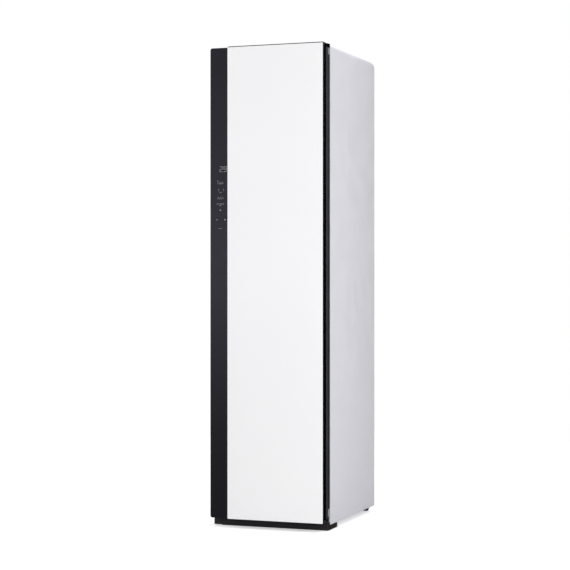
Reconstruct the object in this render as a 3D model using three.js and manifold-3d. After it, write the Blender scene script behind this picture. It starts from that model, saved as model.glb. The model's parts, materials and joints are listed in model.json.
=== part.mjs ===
// A clothes care steam cabinet: one tall door, a steam chamber with a moving hanger bar, two water tanks
// and a small heat pump below. Millimetres, +Z up, front towards -Y, origin under the middle of its box.
import * as THREE from "three";
import { mergeVertices } from "three/addons/utils/BufferGeometryUtils.js";
import Module from "manifold-3d";

const wasm = await Module();
wasm.setup();

// Whole cabinet
const WIDTH = 470;
const DEPTH = 654;
const HEIGHT = 1850;
const FIT = 0.3;
const OVERRUN = 5;

// Door, from the front panel back to the case
const DOOR_TOP_DROP = 1.5;
const DOOR_LIFT = 33;
const DOOR_CORNER = 8;
const STRIP_WIDTH = 82;
const GLASS = 5;
const GLASS_EDGE = 0.7;
const STRIP_RECESS = 27;
const STRIP_GLASS = 3;
const FRAME_DEPTH = 36;
const LINER_DEPTH = 25;
const GASKET_DEPTH = 23;
const CAP = 2;
const DOOR_WALL = 3;
const FRAME_RIB_PITCH = 290;
const GRIP_LOW = 830;
const GRIP_HEIGHT = 340;
const GRIP_REACH = 22;
const GRIP_FRONT_WALL = 3;
const GRIP_CORNER = 6;
const DOOR_LINER_INSET = 3;
const DOOR_LINER_SIDE_INSET = 0.5;
const DOOR_LINER_CORNER = 10;
const BOARD_WIDTH = 62;
const BOARD_DROP = 438.5;
const BOARD_HEIGHT = 275;
const BOARD = 1.6;
const BOARD_PARTS = 0.6;
const DIGIT_BLOCK_WIDTH = 46;
const DIGIT_BLOCK_HEIGHT = 34;
const DIGIT_BLOCK_DROP = 12;
const KEY_PAD = 14;
const KEY_PITCH = 36;
const KEY_COUNT = 5;

// Gasket
const GASKET_SIDE_INSET = 13;
const GASKET_LOW = 83;
const GASKET_TOP_INSET = 38.5;
const GASKET_WIDTH = 15;
const GASKET_NECK = 9;
const GASKET_MAGNET = 8;
const GASKET_DART = 5;
const GASKET_DART_WIDTH = 6;
const GASKET_CORNER = 20;
const SKIRT_INSET = 1.2;
const SKIRT_WALL = 2;
const SKIRT_GAP = 4;

// Door hinges
const HINGE_INSET = 12;
const HINGE_BACK = 35;
const HINGE_PIN = 4;
const HINGE_PIN_HEAD = 5.5;
const HINGE_NOSE = 12;
const HINGE_NOTCH_GAP = 1;
const HINGE_SIDE = 8;
const HINGE_REACH = 58;
const HINGE_PLATE = 3;
const HINGE_COVER = 1.5;
const HINGE_PIN_DEPTH = 22;
const HINGE_FLARE = 22;
const TOP_NOTCH = 13.5;
const BOTTOM_NOTCH = 13.5;
const BOTTOM_PLATE = 4;
const BOTTOM_FLANGE_RISE = 21;
const BOTTOM_FLANGE_CORNER = 6;
const WASHER_RADIUS = 9;

// Case
const SHEET = 1.5;
const CASE_BOTTOM = 21;
const CASE_EDGE = 20;
const CASE_BACK_CORNER = 32;
const CASE_FLANGE = 40;
const CASE_TOP_FLANGE = 65;
const REAR_LIP = 14;
const POCKET_WIDTH = 76;
const POCKET_LENGTH = 62;
const POCKET_DEPTH = 12;

// Rear panel
const REAR_SHEET = 1;
const EMBOSS_INSET = 34;
const EMBOSS_RAISE = 1.2;
const EMBOSS_CORNER = 24;
const EMBOSS_GAP = 46;
const LOUVRE_LENGTH = 120;
const LOUVRE_HEIGHT = 6;
const LOUVRE_PITCH = 18;
const LOUVRE_LOW = 130;
const LOUVRE_ROWS = 6;
const LOUVRE_COLUMNS = 2;
const LOUVRE_COLUMN_PITCH = 160;

// Base pan, plinth, feet and rollers
const PAN_FLOOR = 2;
const PAN_RISE = 28;
const SILL_TOP = 101;
const PLINTH_WALL = 3;
const PLINTH_SETBACK = 61;
const PLINTH_CLEARANCE = 1.5;
const PLINTH_TOP_GAP = 3;
const PLINTH_RETURN = 170;
const PLINTH_FLANGE = 22;
const PLINTH_CORNER = 7;
const PLINTH_END_WIDTH = 36;
const PLINTH_END_LIFT = 2;
const FOOT_INSET = 42;
const FOOT_SETBACK = 128;
const FOOT_RADIUS = 18;
const FOOT_PAD = 7;
const FOOT_HEX = 6;
const FOOT_STUD = 5;
const FOOT_STUD_LENGTH = 44;
const FOOT_BOSS = 10;
const HEX_SIDES = 6;
const FOOT_BOSS_HEIGHT = 12;
const ROLLER_RADIUS = 18;
const ROLLER_WIDTH = 20;
const ROLLER_INSET = 30;
const ROLLER_FROM_BACK = 24;
const ROLLER_EDGE = 2.5;
const ROLLER_GROOVE = 2;
const AXLE_RADIUS = 4;
const AXLE_HEAD = 6.5;
const AXLE_HEAD_LENGTH = 2.5;
const CHEEK = 2.5;
const CHEEK_WIDTH = 26;
const CHEEK_DROP = 10;
const CHEEK_RISE = 14;
const WELL_GAP = 4;

// Chamber liner
const LINER = 3;
const CHAMBER_SIDE_WALL = 48;
const CHAMBER_FLOOR = 341;
const CHAMBER_ROOF = 73;
const CHAMBER_REAR_WALL = 58;
const CHAMBER_CORNER = 8;
const CHAMBER_TOP_CORNER = 8;
const LIP_WIDTH = 8;
const LIP = 2;
const APRON_DROP = 35;
const LEDGE_WIDTH = 10;
const LEDGE = 5;
const SHELF_HEIGHT = 396;
const SHELF_SETBACK = 176;
const SHELF_BACK_GAP = 24;
const SOCKET_RADIUS = 10;
const SOCKET_LENGTH = 10;

// Hanger drive
const DRIVE_FORWARD = 10;
const DRIVE_WIDTH = 112;
const DRIVE_DEPTH = 92;
const DRIVE_HEIGHT = 26;
const DRIVE_CORNER = 10;
const DRIVE_POCKET_GAP = 6;
const DRIVE_MOTOR_RADIUS = 29;
const DRIVE_MOTOR_HEIGHT = 30;
const DRIVE_MOTOR_OFFSET = 22;
const DRIVE_MOTOR_SHAFT = 3;
const DRIVE_MOTOR_SHAFT_LENGTH = 12;
const CRANK_SHAFT = 6;
const CRANK_SHAFT_RISE = 16;
const CRANK_HOLE = 10;
const CRANK_RADIUS = 25;
const CRANK_DISC = 6;
const CRANK_DISC_DROP = 8;
const CRANK_THROW = 15;
const CRANK_PIN = 4;
const CRANK_PIN_LENGTH = 19;
const CRANK_SLOT_PLAY = 4.4;
const CRANK_SLOT_END = 1.5;
const RAIL_RADIUS = 5;
const RAIL_SPREAD = 45;
const RAIL_DROP = 25;
const SLIDER_END_ROOM = 67;
const SLIDER_WALL = 5;
const SLIDER_WINDOW = 60;
const BRIDGE_LENGTH = 64;
const BRIDGE = 7;
const HOOK_BAR_END_ROOM = 31;
const HOOK_BAR = 9;
const HOOK_BAR_HEIGHT = 62;
const HOOK_BAR_CORNER = 14;
const HOOK_COUNT = 3;
const HOOK_PITCH_SHARE = 0.3077;
const HOOK_WINDOW_WIDTH = 52;
const HOOK_WINDOW_HEIGHT = 30;
const HOOK_WINDOW_CORNER = 9;
const HOOK_WINDOW_RISE = 10;

// Lamp, grille, nozzle, filter and aroma kit
const LAMP_LENGTH = 130;
const LAMP_WIDTH = 34;
const LAMP_SETBACK = 150;
const LAMP_FLANGE = 6;
const LAMP_LENS = 3;
const LAMP_CORNER = 12;
const GRILLE_WIDTH_SHARE = 0.5615;
const GRILLE_LENGTH = 78;
const GRILLE_FROM_BACK = 156;
const GRILLE_FLANGE = 6;
const GRILLE_PLATE = 2.5;
const GRILLE_CORNER = 10;
const GRILLE_SLOTS = 8;
const GRILLE_SLOT_SHARE = 0.6;
const NOZZLE_SIDE_ROOM = 37;
const NOZZLE_GAP = 31;
const NOZZLE_RADIUS = 21;
const NOZZLE_HEIGHT = 13;
const NOZZLE_SPIGOT = 8;
const NOZZLE_SPIGOT_DROP = 16;
const NOZZLE_BORE = 5;
const NOZZLE_SHOULDER_SHARE = 0.8;
const NOZZLE_RISE_SHARE = 0.7;
const FILTER_WIDTH_SHARE = 0.4011;
const FILTER_LENGTH = 58;
const FILTER_SETBACK = 98;
const FILTER_PLACE_SHARE = -0.107;
const FILTER_DEPTH = 24;
const FILTER_WALL = 2.5;
const FILTER_PLATE = 3;
const FILTER_CORNER = 8;
const FILTER_WINDOWS = 4;
const FILTER_WINDOW_SHARE = 0.72;
const FILTER_GRIP_LENGTH = 64;
const FILTER_GRIP_HEIGHT = 24;
const FILTER_GRIP = 7;
const AROMA_WIDTH = 56;
const AROMA_LENGTH = 40;
const AROMA_DEPTH = 18;
const AROMA_PLACE_SHARE = 0.2941;
const AROMA_CORNER = 8;
const AROMA_SLOTS = 5;
const AROMA_SLOT_WIDTH = 3;

// Shelf
const SHELF_RIM = 10;
const SHELF_THICKNESS = 10;
const SHELF_SLAT = 7;
const SHELF_SLATS = 8;
const SHELF_GAP = 3;
const SHELF_CORNER = 16;

// Tanks and their housing
const HOUSING_WALL = 3;
const HOUSING_MIDDLE = 6;
const HOUSING_TOP = 305;
const HOUSING_RIB = 3;
const TANK_RECESS = 18;
const TANK_DEPTH_SHARE = 0.19572;
const TANK_HEIGHT = 176;
const TANK_WALL = 2.5;
const TANK_CORNER = 12;
const TANK_PLAY = 2;
const TANK_BACK_GAP = 4;
const TANK_GRIP_WIDTH = 84;
const TANK_GRIP_HEIGHT = 34;
const TANK_GRIP_DEPTH = 20;
const TANK_GRIP_DROP = 26;
const TANK_VALVE = 9;
const TANK_VALVE_LENGTH = 3.4;
const TANK_VALVE_RISE = 20;
const TANK_LID = 6;
const TANK_LID_PLUG = 5;
const TANK_LID_CAP = 17;
const TANK_LID_CAP_RISE = 5;

// Heat pump, fan and steam supply
const TRAY_RIGHT_SHARE = 0.4426;
const TRAY_GAP = 7;
const TRAY_DEPTH_SHARE = 0.4056;
const TRAY_FLOOR = 165;
const TRAY_WALL = 3;
const TRAY_LEG = 20;
const COIL_END_ROOM = 27;
const COIL_DEPTH_SHARE = 0.3214;
const COIL_HEIGHT = 150;
const COIL_CORE_SHARE = 0.26;
const COIL_FIN = 2.4;
const COIL_FINS = 9;
const COIL_TUBE = 4.5;
const COIL_TUBE_PITCH = 38;
const COIL_BENDS = 2;
const COIL_BEND_PITCH = 57;
const COIL_BEND_STEPS = 4;
const COIL_GAP_SHARE = 0.083;
const COIL_SPACING_SHARE = 0.131;
const FAN_PLACE_SHARE = -0.0851;
const FAN_HEIGHT = 232;
const FAN_WHEEL_SHARE = 0.1234;
const FAN_INNER_SHARE = 0.7586;
const FAN_WIDTH_SHARE = 0.1111;
const FAN_BLADES = 11;
const FAN_BLADE = 1.8;
const FAN_BLADE_SWEEP = 0.22;
const FAN_BLADE_STEPS = 2;
const FAN_PLATE = 2.5;
const FAN_HUB = 14;
const FAN_GAP = 5;
const FAN_INLET_SHARE = 0.6897;
const SCROLL_GAP = 8;
const SCROLL_GROWTH_SHARE = 0.4483;
const SCROLL_WALL = 3;
const SCROLL_STEPS = 10;
const SCROLL_FOOT = 30;
const SCROLL_FOOT_SHARE = 0.9138;
const FAN_MOTOR_RADIUS = 38;
const FAN_MOTOR_SHARE = 0.1207;
const FAN_SHAFT = 4;
const FAN_MOTOR_BOSS = 12;
const FAN_MOTOR_BOSS_LENGTH = 4;
const COMPRESSOR_WALL_GAP = 29;
const COMPRESSOR_PLACE_SHARE = 0.3187;
const COMPRESSOR_SHARE = 0.1234;
const COMPRESSOR_HEIGHT = 176;
const COMPRESSOR_DOME = 18;
const COMPRESSOR_FOOT = 6;
const COMPRESSOR_FOOT_OUT = 20;
const COMPRESSOR_FEET = 3;
const COMPRESSOR_SEAM = 3;
const COMPRESSOR_SEAM_DROP = 43;
const COMPRESSOR_BASE_SHARE = 0.7;
const COMPRESSOR_SHOULDER_SHARE = 0.92;
const COMPRESSOR_CROWN_SHARE = 0.5;
const ACCUMULATOR_RADIUS = 22;
const ACCUMULATOR_HEIGHT = 112;
const ACCUMULATOR_GAP = 4;
const STEAMER_PLACE_SHARE = -0.2638;
const STEAMER_GAP = 72.5;
const STEAMER_WIDTH_SHARE = 0.2553;
const STEAMER_DEPTH = 76;
const STEAMER_HEIGHT = 78;
const STEAMER_CORNER = 14;
const STEAMER_RIBS = 5;
const STEAMER_RIB = 3;
const STEAMER_RIB_RISE = 4;
const STEAMER_SEAM = 4;
const STEAMER_SEAM_REACH = 6;
const STEAMER_FOOT = 12;
const STEAMER_OUTLET_SHARE = 0.75;
const STEAMER_SPIGOT = 8;
const STEAMER_SPIGOT_LENGTH = 12;
const HOSE_RADIUS = 8;
const HOSE_GAP = 2;
const HOSE_BEND_SHARE = 0.35;
const HOSE_RISE_SHARE = 0.55;
const HOSE_STEPS = 14;
const PUMP_RADIUS = 18;
const PUMP_LENGTH = 42;
const PUMP_HEAD = 23;
const PUMP_HEAD_LENGTH = 14;
const PUMP_BASE = 5;
const PUMP_SPIGOT = 5;
const PUMP_SPIGOT_LENGTH = 12;
const PUMP_GAP = 51.5;
const WATER_PUMP_SHARE = 0.6383;
const DRAIN_PUMP_SHARE = 0.2043;
const CONTROL_WIDTH_SHARE = 0.2043;
const CONTROL_DEPTH_SHARE = 0.309;
const CONTROL_HEIGHT = 172;
const CONTROL_LOW = 128;
const CONTROL_GAP = 25;
const CONTROL_CORNER = 6;
const CONTROL_LID = 4;
const CONTROL_SLOTS = 6;
const CONTROL_SLOT = 4;
const INLET_INSET = 85;
const INLET_HEIGHT = 80;
const INLET_FLANGE = 46;
const INLET_FLANGE_THICKNESS = 1.2;
const INLET_BARREL = 15;
const INLET_LENGTH = 26;
const INLET_BORE = 5;

// Trouser press
const PRESS_SIDE_ROOM = 42;
const PRESS_LOW = 720;
const PRESS_TOP_DROP = 368.5;
const PRESS_PAD = 9;
const PRESS_PLATE = 4;
const PRESS_RIB = 3;
const PRESS_CORNER = 12;
const PRESS_PIN = 3;
const PRESS_KNUCKLE = 5.5;
const PRESS_KNUCKLES = 3;
const PRESS_KNUCKLE_LENGTH = 46;
const PRESS_LUG_WIDTH = 12;
const PRESS_LATCH_MARGIN = 24;
const PRESS_RIBS = 4;
const PRESS_SLOT_WIDTH = 5;
const PRESS_SLOT_LENGTH = 120;
const PRESS_SLOTS = 3;
const LATCH_PIN = 4;
const LATCH_LENGTH = 40;
const LATCH_WIDTH = 14;
const LATCH = 4;

// How finely round forms are cut
const CHORD = 1;
const FINE_CHORD = 0.12;
const MERGE = 1e-4;
const LEAST_SIDES = 8;
const TUBE_SIDES = 6;
const EDGE_LIMIT_SHARE = 0.48;

// Planes that several pieces share
const FRONT = -DEPTH / 2;
const BACK = DEPTH / 2;
const SIDE = WIDTH / 2;
const DOOR_TOP = HEIGHT - DOOR_TOP_DROP;
const PANEL_LEFT = -SIDE + STRIP_WIDTH;
const FRAME_BACK = FRONT + FRAME_DEPTH;
const DOOR_BACK = FRAME_BACK + LINER_DEPTH;
const CASE_FRONT = DOOR_BACK + GASKET_DEPTH;
const STRIP_BACK = FRONT + STRIP_RECESS + STRIP_GLASS;
const GASKET_TOP = DOOR_TOP - GASKET_TOP_INSET;
const BOARD_LOW = DOOR_TOP - BOARD_DROP - BOARD_HEIGHT;
const HINGE_X = SIDE - HINGE_INSET;
const HINGE_Y = FRONT + HINGE_BACK;
const NOTCH_FRONT = HINGE_Y - HINGE_NOSE - HINGE_NOTCH_GAP;
const NOTCH_LEFT = HINGE_X - HINGE_REACH - HINGE_NOSE / 2;
const NOTCH_FLOOR = DOOR_TOP - TOP_NOTCH;
const NOTCH_CEILING = DOOR_LIFT + BOTTOM_NOTCH;
const POCKET_FLOOR = HEIGHT - POCKET_DEPTH;
const POCKET_RIGHT = SIDE - CASE_EDGE;
const REAR_PLANE = BACK - SHEET - FIT - REAR_SHEET;
const PAN_TOP = CASE_BOTTOM + PAN_FLOOR;
const CHAMBER_SIDE = SIDE - CHAMBER_SIDE_WALL;
const CHAMBER_REAR = BACK - CHAMBER_REAR_WALL;
const CHAMBER_TOP = HEIGHT - CHAMBER_ROOF;
const SHELF_LENGTH = CHAMBER_REAR - SHELF_BACK_GAP - FRONT - SHELF_SETBACK;
const RAIL_HEIGHT = CHAMBER_TOP - RAIL_DROP;
const DRIVE_Y = (CASE_FRONT + CHAMBER_REAR) / 2 - DRIVE_FORWARD;
const SLIDER_LENGTH = 2 * (CHAMBER_SIDE - SLIDER_END_ROOM);
const HOOK_BAR_LENGTH = 2 * (CHAMBER_SIDE - HOOK_BAR_END_ROOM);
const HOOK_PITCH = HOOK_BAR_LENGTH * HOOK_PITCH_SHARE;
const GRILLE_WIDTH = 2 * CHAMBER_SIDE * GRILLE_WIDTH_SHARE;
const FILTER_WIDTH = 2 * CHAMBER_SIDE * FILTER_WIDTH_SHARE;
const FILTER_SIDE = 2 * CHAMBER_SIDE * FILTER_PLACE_SHARE;
const AROMA_SIDE = 2 * CHAMBER_SIDE * AROMA_PLACE_SHARE;
const HOUSING_SIDE = SIDE - CASE_FLANGE - FIT;
const TANK_WIDTH = HOUSING_SIDE - HOUSING_WALL - HOUSING_MIDDLE / 2 - 2 * TANK_PLAY;
const TANK_CENTRE = (HOUSING_SIDE - HOUSING_WALL + HOUSING_MIDDLE / 2) / 2;
const TANK_FRONT = CASE_FRONT + TANK_RECESS;
const TANK_DEPTH = DEPTH * TANK_DEPTH_SHARE;
const HOUSING_BACK = TANK_FRONT + TANK_DEPTH + TANK_BACK_GAP + HOUSING_WALL;
const TANK_FLOOR = SILL_TOP + FIT + HOUSING_WALL + HOUSING_RIB + FIT;

// The machine bay behind the tanks: its pieces share out its width and its depth
const BAY_DEPTH = REAR_PLANE - HOUSING_BACK;
const NOZZLE_SIDE = CHAMBER_SIDE - NOZZLE_SIDE_ROOM;
const NOZZLE_Y = HOUSING_BACK + NOZZLE_GAP;
const TRAY_LEFT = -NOZZLE_SIDE + HOSE_RADIUS + HOSE_GAP;
const TRAY_RIGHT = SIDE * TRAY_RIGHT_SHARE;
const TRAY_FRONT = HOUSING_BACK + TRAY_GAP;
const TRAY_DEPTH = BAY_DEPTH * TRAY_DEPTH_SHARE;
const TRAY_BACK = TRAY_FRONT + TRAY_DEPTH;
const COIL_WIDTH = TRAY_RIGHT - TRAY_LEFT - 2 * COIL_END_ROOM;
const COIL_DEPTH = TRAY_DEPTH * COIL_DEPTH_SHARE;
const FAN_SIDE = SIDE * FAN_PLACE_SHARE;
const FAN_WHEEL = WIDTH * FAN_WHEEL_SHARE;
const FAN_WHEEL_INNER = FAN_WHEEL * FAN_INNER_SHARE;
const FAN_WHEEL_WIDTH = BAY_DEPTH * FAN_WIDTH_SHARE;
const FAN_INLET = FAN_WHEEL * FAN_INLET_SHARE;
const FAN_FRONT = TRAY_BACK + FIT;
const FAN_BOX_DEPTH = FAN_WHEEL_WIDTH + 2 * FAN_GAP + 2 * SCROLL_WALL;
const FAN_MOTOR_LENGTH = BAY_DEPTH * FAN_MOTOR_SHARE;
const SCROLL_START = FAN_WHEEL + SCROLL_GAP;
const SCROLL_GROWTH = FAN_WHEEL * SCROLL_GROWTH_SHARE;
const SCROLL_FOOT_SPREAD = FAN_WHEEL * SCROLL_FOOT_SHARE;
const COMPRESSOR_RADIUS = WIDTH * COMPRESSOR_SHARE;
const COMPRESSOR_FOOT_REACH = COMPRESSOR_RADIUS + COMPRESSOR_FOOT_OUT;
const COMPRESSOR_X = SIDE - COMPRESSOR_WALL_GAP - COMPRESSOR_RADIUS;
const COMPRESSOR_Y = BACK - BAY_DEPTH * COMPRESSOR_PLACE_SHARE;
const STEAMER_SIDE = SIDE * STEAMER_PLACE_SHARE;
const STEAMER_WIDTH = WIDTH * STEAMER_WIDTH_SHARE;
const STEAMER_Y = HOUSING_BACK + STEAMER_GAP;
const PUMP_Y = HOUSING_BACK + PUMP_GAP;
const CONTROL_WIDTH = WIDTH * CONTROL_WIDTH_SHARE;
const CONTROL_DEPTH = BAY_DEPTH * CONTROL_DEPTH_SHARE;
const INLET_SIDE = -SIDE + INLET_INSET;

// Trouser press
const PRESS_WIDTH = 2 * (CHAMBER_SIDE - PRESS_SIDE_ROOM);
const PRESS_HEIGHT = DOOR_TOP - PRESS_TOP_DROP - PRESS_LOW;
const PRESS_FACE = DOOR_BACK + FIT + PRESS_PAD;
const PRESS_PIN_Y = PRESS_FACE + FIT + PRESS_PLATE / 2;
const PRESS_PIN_X = -PRESS_WIDTH / 2 - PRESS_LUG_WIDTH / 2;

// Finishes
const finish = (color, roughness, metalness = 0, opacity = 1) => () =>
  new THREE.MeshStandardMaterial({ color, roughness, metalness, opacity, transparent: opacity < 1 });
const whiteGlass = finish(0xf1f1f3, 0.12);
const darkGlass = finish(0x2c2b31, 0.1);
const blackPlastic = finish(0x1b1a1d, 0.5);
const greyPlastic = finish(0x34333a, 0.55);
const paleSteel = finish(0xd2d2d9, 0.38, 0.2);
const zinc = finish(0xb9bcc0, 0.45, 0.8);
const steel = finish(0xa8acb2, 0.3, 1);
const aluminium = finish(0xc6cacd, 0.35, 0.9);
const copper = finish(0xb8704a, 0.3, 1);
const chamberPlastic = finish(0xdfe1e4, 0.5);
const foam = finish(0xe6dcae, 0.9);
const rubber = finish(0x2a2a2d, 0.8);
const smokePlastic = finish(0x8f9aa5, 0.2, 0, 0.6);
const clearPlastic = finish(0xe8eef2, 0.15, 0, 0.7);
const boardGreen = finish(0x1d5a3a, 0.5);
const cloth = finish(0x8a8c90, 0.95);
const blackSteel = finish(0x222225, 0.4, 0.6);

// Turns a closed geometry into a solid that can be joined and cut.
function solid(geometry) {
  geometry.deleteAttribute("normal");
  geometry.deleteAttribute("uv");
  const merged = mergeVertices(geometry, MERGE);
  const corners = merged.index.array;
  const kept = [];
  for (let i = 0; i < corners.length; i += 3) {
    const [a, b, c] = corners.subarray(i, i + 3);
    if (a !== b && b !== c && a !== c) kept.push(a, b, c);
  }
  const mesh = new wasm.Mesh({
    numProp: 3,
    vertProperties: merged.attributes.position.array,
    triVerts: new Uint32Array(kept),
  });
  return new wasm.Manifold(mesh);
}

// Makes the named mesh of one piece and hangs it in its group.
function addPiece(group, name, body, material) {
  const mesh = body.getMesh();
  const geometry = new THREE.BufferGeometry();
  geometry.setAttribute("position", new THREE.BufferAttribute(mesh.vertProperties, mesh.numProp));
  geometry.setIndex(new THREE.BufferAttribute(mesh.triVerts, 1));
  geometry.computeVertexNormals();
  const piece = new THREE.Mesh(geometry, material());
  piece.name = name;
  group.add(piece);
  return piece;
}

// The turn between two points of an arc, so that its chords stay near the true round.
function arcStep(radius, chord = CHORD) {
  return 2 * Math.acos(1 - Math.min(chord / radius, EDGE_LIMIT_SHARE));
}

function sidesOf(radius) {
  return Math.max(LEAST_SIDES, 2 * Math.ceil(Math.PI / arcStep(radius)));
}

// An outline through corners given as [x, y, radius]; a corner without a radius stays sharp.
function outline(corners, chord = CHORD) {
  const points = [];
  corners.forEach(([x, y, radius = 0], i) => {
    const corner = new THREE.Vector2(x, y);
    const before = new THREE.Vector2(...corners.at(i - 1).slice(0, 2)).sub(corner);
    const after = new THREE.Vector2(...corners[(i + 1) % corners.length].slice(0, 2)).sub(corner);
    if (!radius) {
      points.push(corner);
      return;
    }
    const limit = EDGE_LIMIT_SHARE * Math.min(before.length(), after.length());
    const half = Math.acos(before.dot(after) / (before.length() * after.length())) / 2;
    const reach = Math.min(radius / Math.tan(half), limit);
    const round = reach * Math.tan(half);
    const towards = before.clone().normalize().add(after.clone().normalize()).normalize();
    const centre = corner.clone().addScaledVector(towards, round / Math.sin(half));
    const start = corner.clone().addScaledVector(before.normalize(), reach).sub(centre).angle();
    const end = corner.clone().addScaledVector(after.normalize(), reach).sub(centre).angle();
    const turn = Math.atan2(Math.sin(end - start), Math.cos(end - start));
    const steps = Math.ceil(Math.abs(turn) / arcStep(round, chord));
    for (let k = 0; k <= steps; k += 1) {
      const angle = start + (turn * k) / steps;
      points.push(new THREE.Vector2(Math.cos(angle), Math.sin(angle)).multiplyScalar(round).add(centre));
    }
  });
  return new THREE.Shape(points);
}

// A rectangle between two corners, all four rounded alike.
function rectangle(left, right, low, high, radius = 0) {
  return outline([[left, low, radius], [right, low, radius], [right, high, radius], [left, high, radius]]);
}

function circle(x, y, radius, sides = sidesOf(radius)) {
  const points = [];
  for (let i = 0; i < sides; i += 1) {
    const angle = (2 * Math.PI * i) / sides;
    points.push(new THREE.Vector2(x + radius * Math.cos(angle), y + radius * Math.sin(angle)));
  }
  return new THREE.Shape(points);
}

// A round hole whose flats, not its corners, lie at the radius.
function roundHole(x, y, radius) {
  const sides = sidesOf(radius);
  return circle(x, y, radius / Math.cos(Math.PI / sides), sides);
}

function withHole(shape, hole) {
  shape.holes.push(hole);
  return shape;
}

// Prisms along the three axes; their outlines are drawn in x and y, in x and z, and in y and z.
function alongZ(shape, from, to) {
  const geometry = new THREE.ExtrudeGeometry(shape, { depth: to - from, bevelEnabled: false });
  return solid(geometry.translate(0, 0, from));
}

function alongY(shape, from, to) {
  const geometry = new THREE.ExtrudeGeometry(shape, { depth: to - from, bevelEnabled: false });
  return solid(geometry.rotateX(Math.PI / 2).translate(0, to, 0));
}

function alongX(shape, from, to) {
  const geometry = new THREE.ExtrudeGeometry(shape, { depth: to - from, bevelEnabled: false });
  const turned = new THREE.Matrix4().set(0, 0, 1, from, 1, 0, 0, 0, 0, 1, 0, 0, 0, 0, 0, 1);
  return solid(geometry.applyMatrix4(turned));
}

function block(left, right, front, back, low, high) {
  const geometry = new THREE.BoxGeometry(right - left, back - front, high - low);
  return solid(geometry.translate((left + right) / 2, (front + back) / 2, (low + high) / 2));
}

// A turned form about the Z axis, from [radius, height] points.
function turned(profile) {
  const points = profile.map(([radius, height]) => new THREE.Vector2(radius, height));
  const widest = Math.max(...profile.map(([radius]) => radius));
  return solid(new THREE.LatheGeometry(points, sidesOf(widest)).rotateX(Math.PI / 2));
}

// A round bar bent through the given points.
function bentBar(points, radius, steps) {
  const path = new THREE.CatmullRomCurve3(points.map((point) => new THREE.Vector3(...point)));
  const section = circle(0, 0, radius, TUBE_SIDES);
  return solid(new THREE.ExtrudeGeometry(section, { steps, bevelEnabled: false, extrudePath: path }));
}

function joined(solids) {
  return solids.reduce((whole, next) => whole.add(next));
}

// A flat pane in the x-z plane whose edges are ground to a small bevel.
function pane(shape, front, thickness, edge) {
  const geometry = new THREE.ExtrudeGeometry(shape, {
    depth: thickness - 2 * edge,
    bevelThickness: edge,
    bevelSize: edge,
    bevelOffset: -edge,
    bevelSegments: 1,
  });
  return solid(geometry.rotateX(Math.PI / 2).translate(0, front + thickness - edge, 0));
}

// The room that a hinge arm needs in the door: its corner stays clear of the nose as the door turns.
function hingeNotch(low, high) {
  const right = SIDE + OVERRUN;
  const back = CASE_FRONT + OVERRUN;
  const shape = outline([
    [NOTCH_LEFT, NOTCH_FRONT, HINGE_NOSE / 2],
    [right, NOTCH_FRONT],
    [right, back],
    [NOTCH_LEFT, back],
  ]);
  return alongZ(shape, low, high);
}

// The outline of a hinge arm seen from above: a nose round the pin and straight sides back to the case.
function hingeArm(reach, back) {
  const right = HINGE_X + HINGE_SIDE;
  const left = HINGE_X - reach;
  return outline([
    [left, HINGE_Y - HINGE_NOSE, HINGE_NOSE],
    [right, HINGE_Y - HINGE_NOSE, HINGE_SIDE],
    [right, back],
    [left, back],
  ]);
}

// Cuts the room for both hinge arms and the bores for their pins.
function doorNotches(body) {
  const top = hingeNotch(NOTCH_FLOOR, DOOR_TOP + OVERRUN);
  const bottom = hingeNotch(DOOR_LIFT - OVERRUN, NOTCH_CEILING);
  const bore = roundHole(HINGE_X, HINGE_Y, HINGE_PIN + FIT);
  const topBore = alongZ(bore, NOTCH_FLOOR - HINGE_PIN_DEPTH - FIT, DOOR_TOP);
  const bottomBore = alongZ(bore, DOOR_LIFT, NOTCH_CEILING + HINGE_PIN_DEPTH + FIT);
  return body.subtract(top).subtract(bottom).subtract(topBore).subtract(bottomBore);
}

// Door

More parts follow.
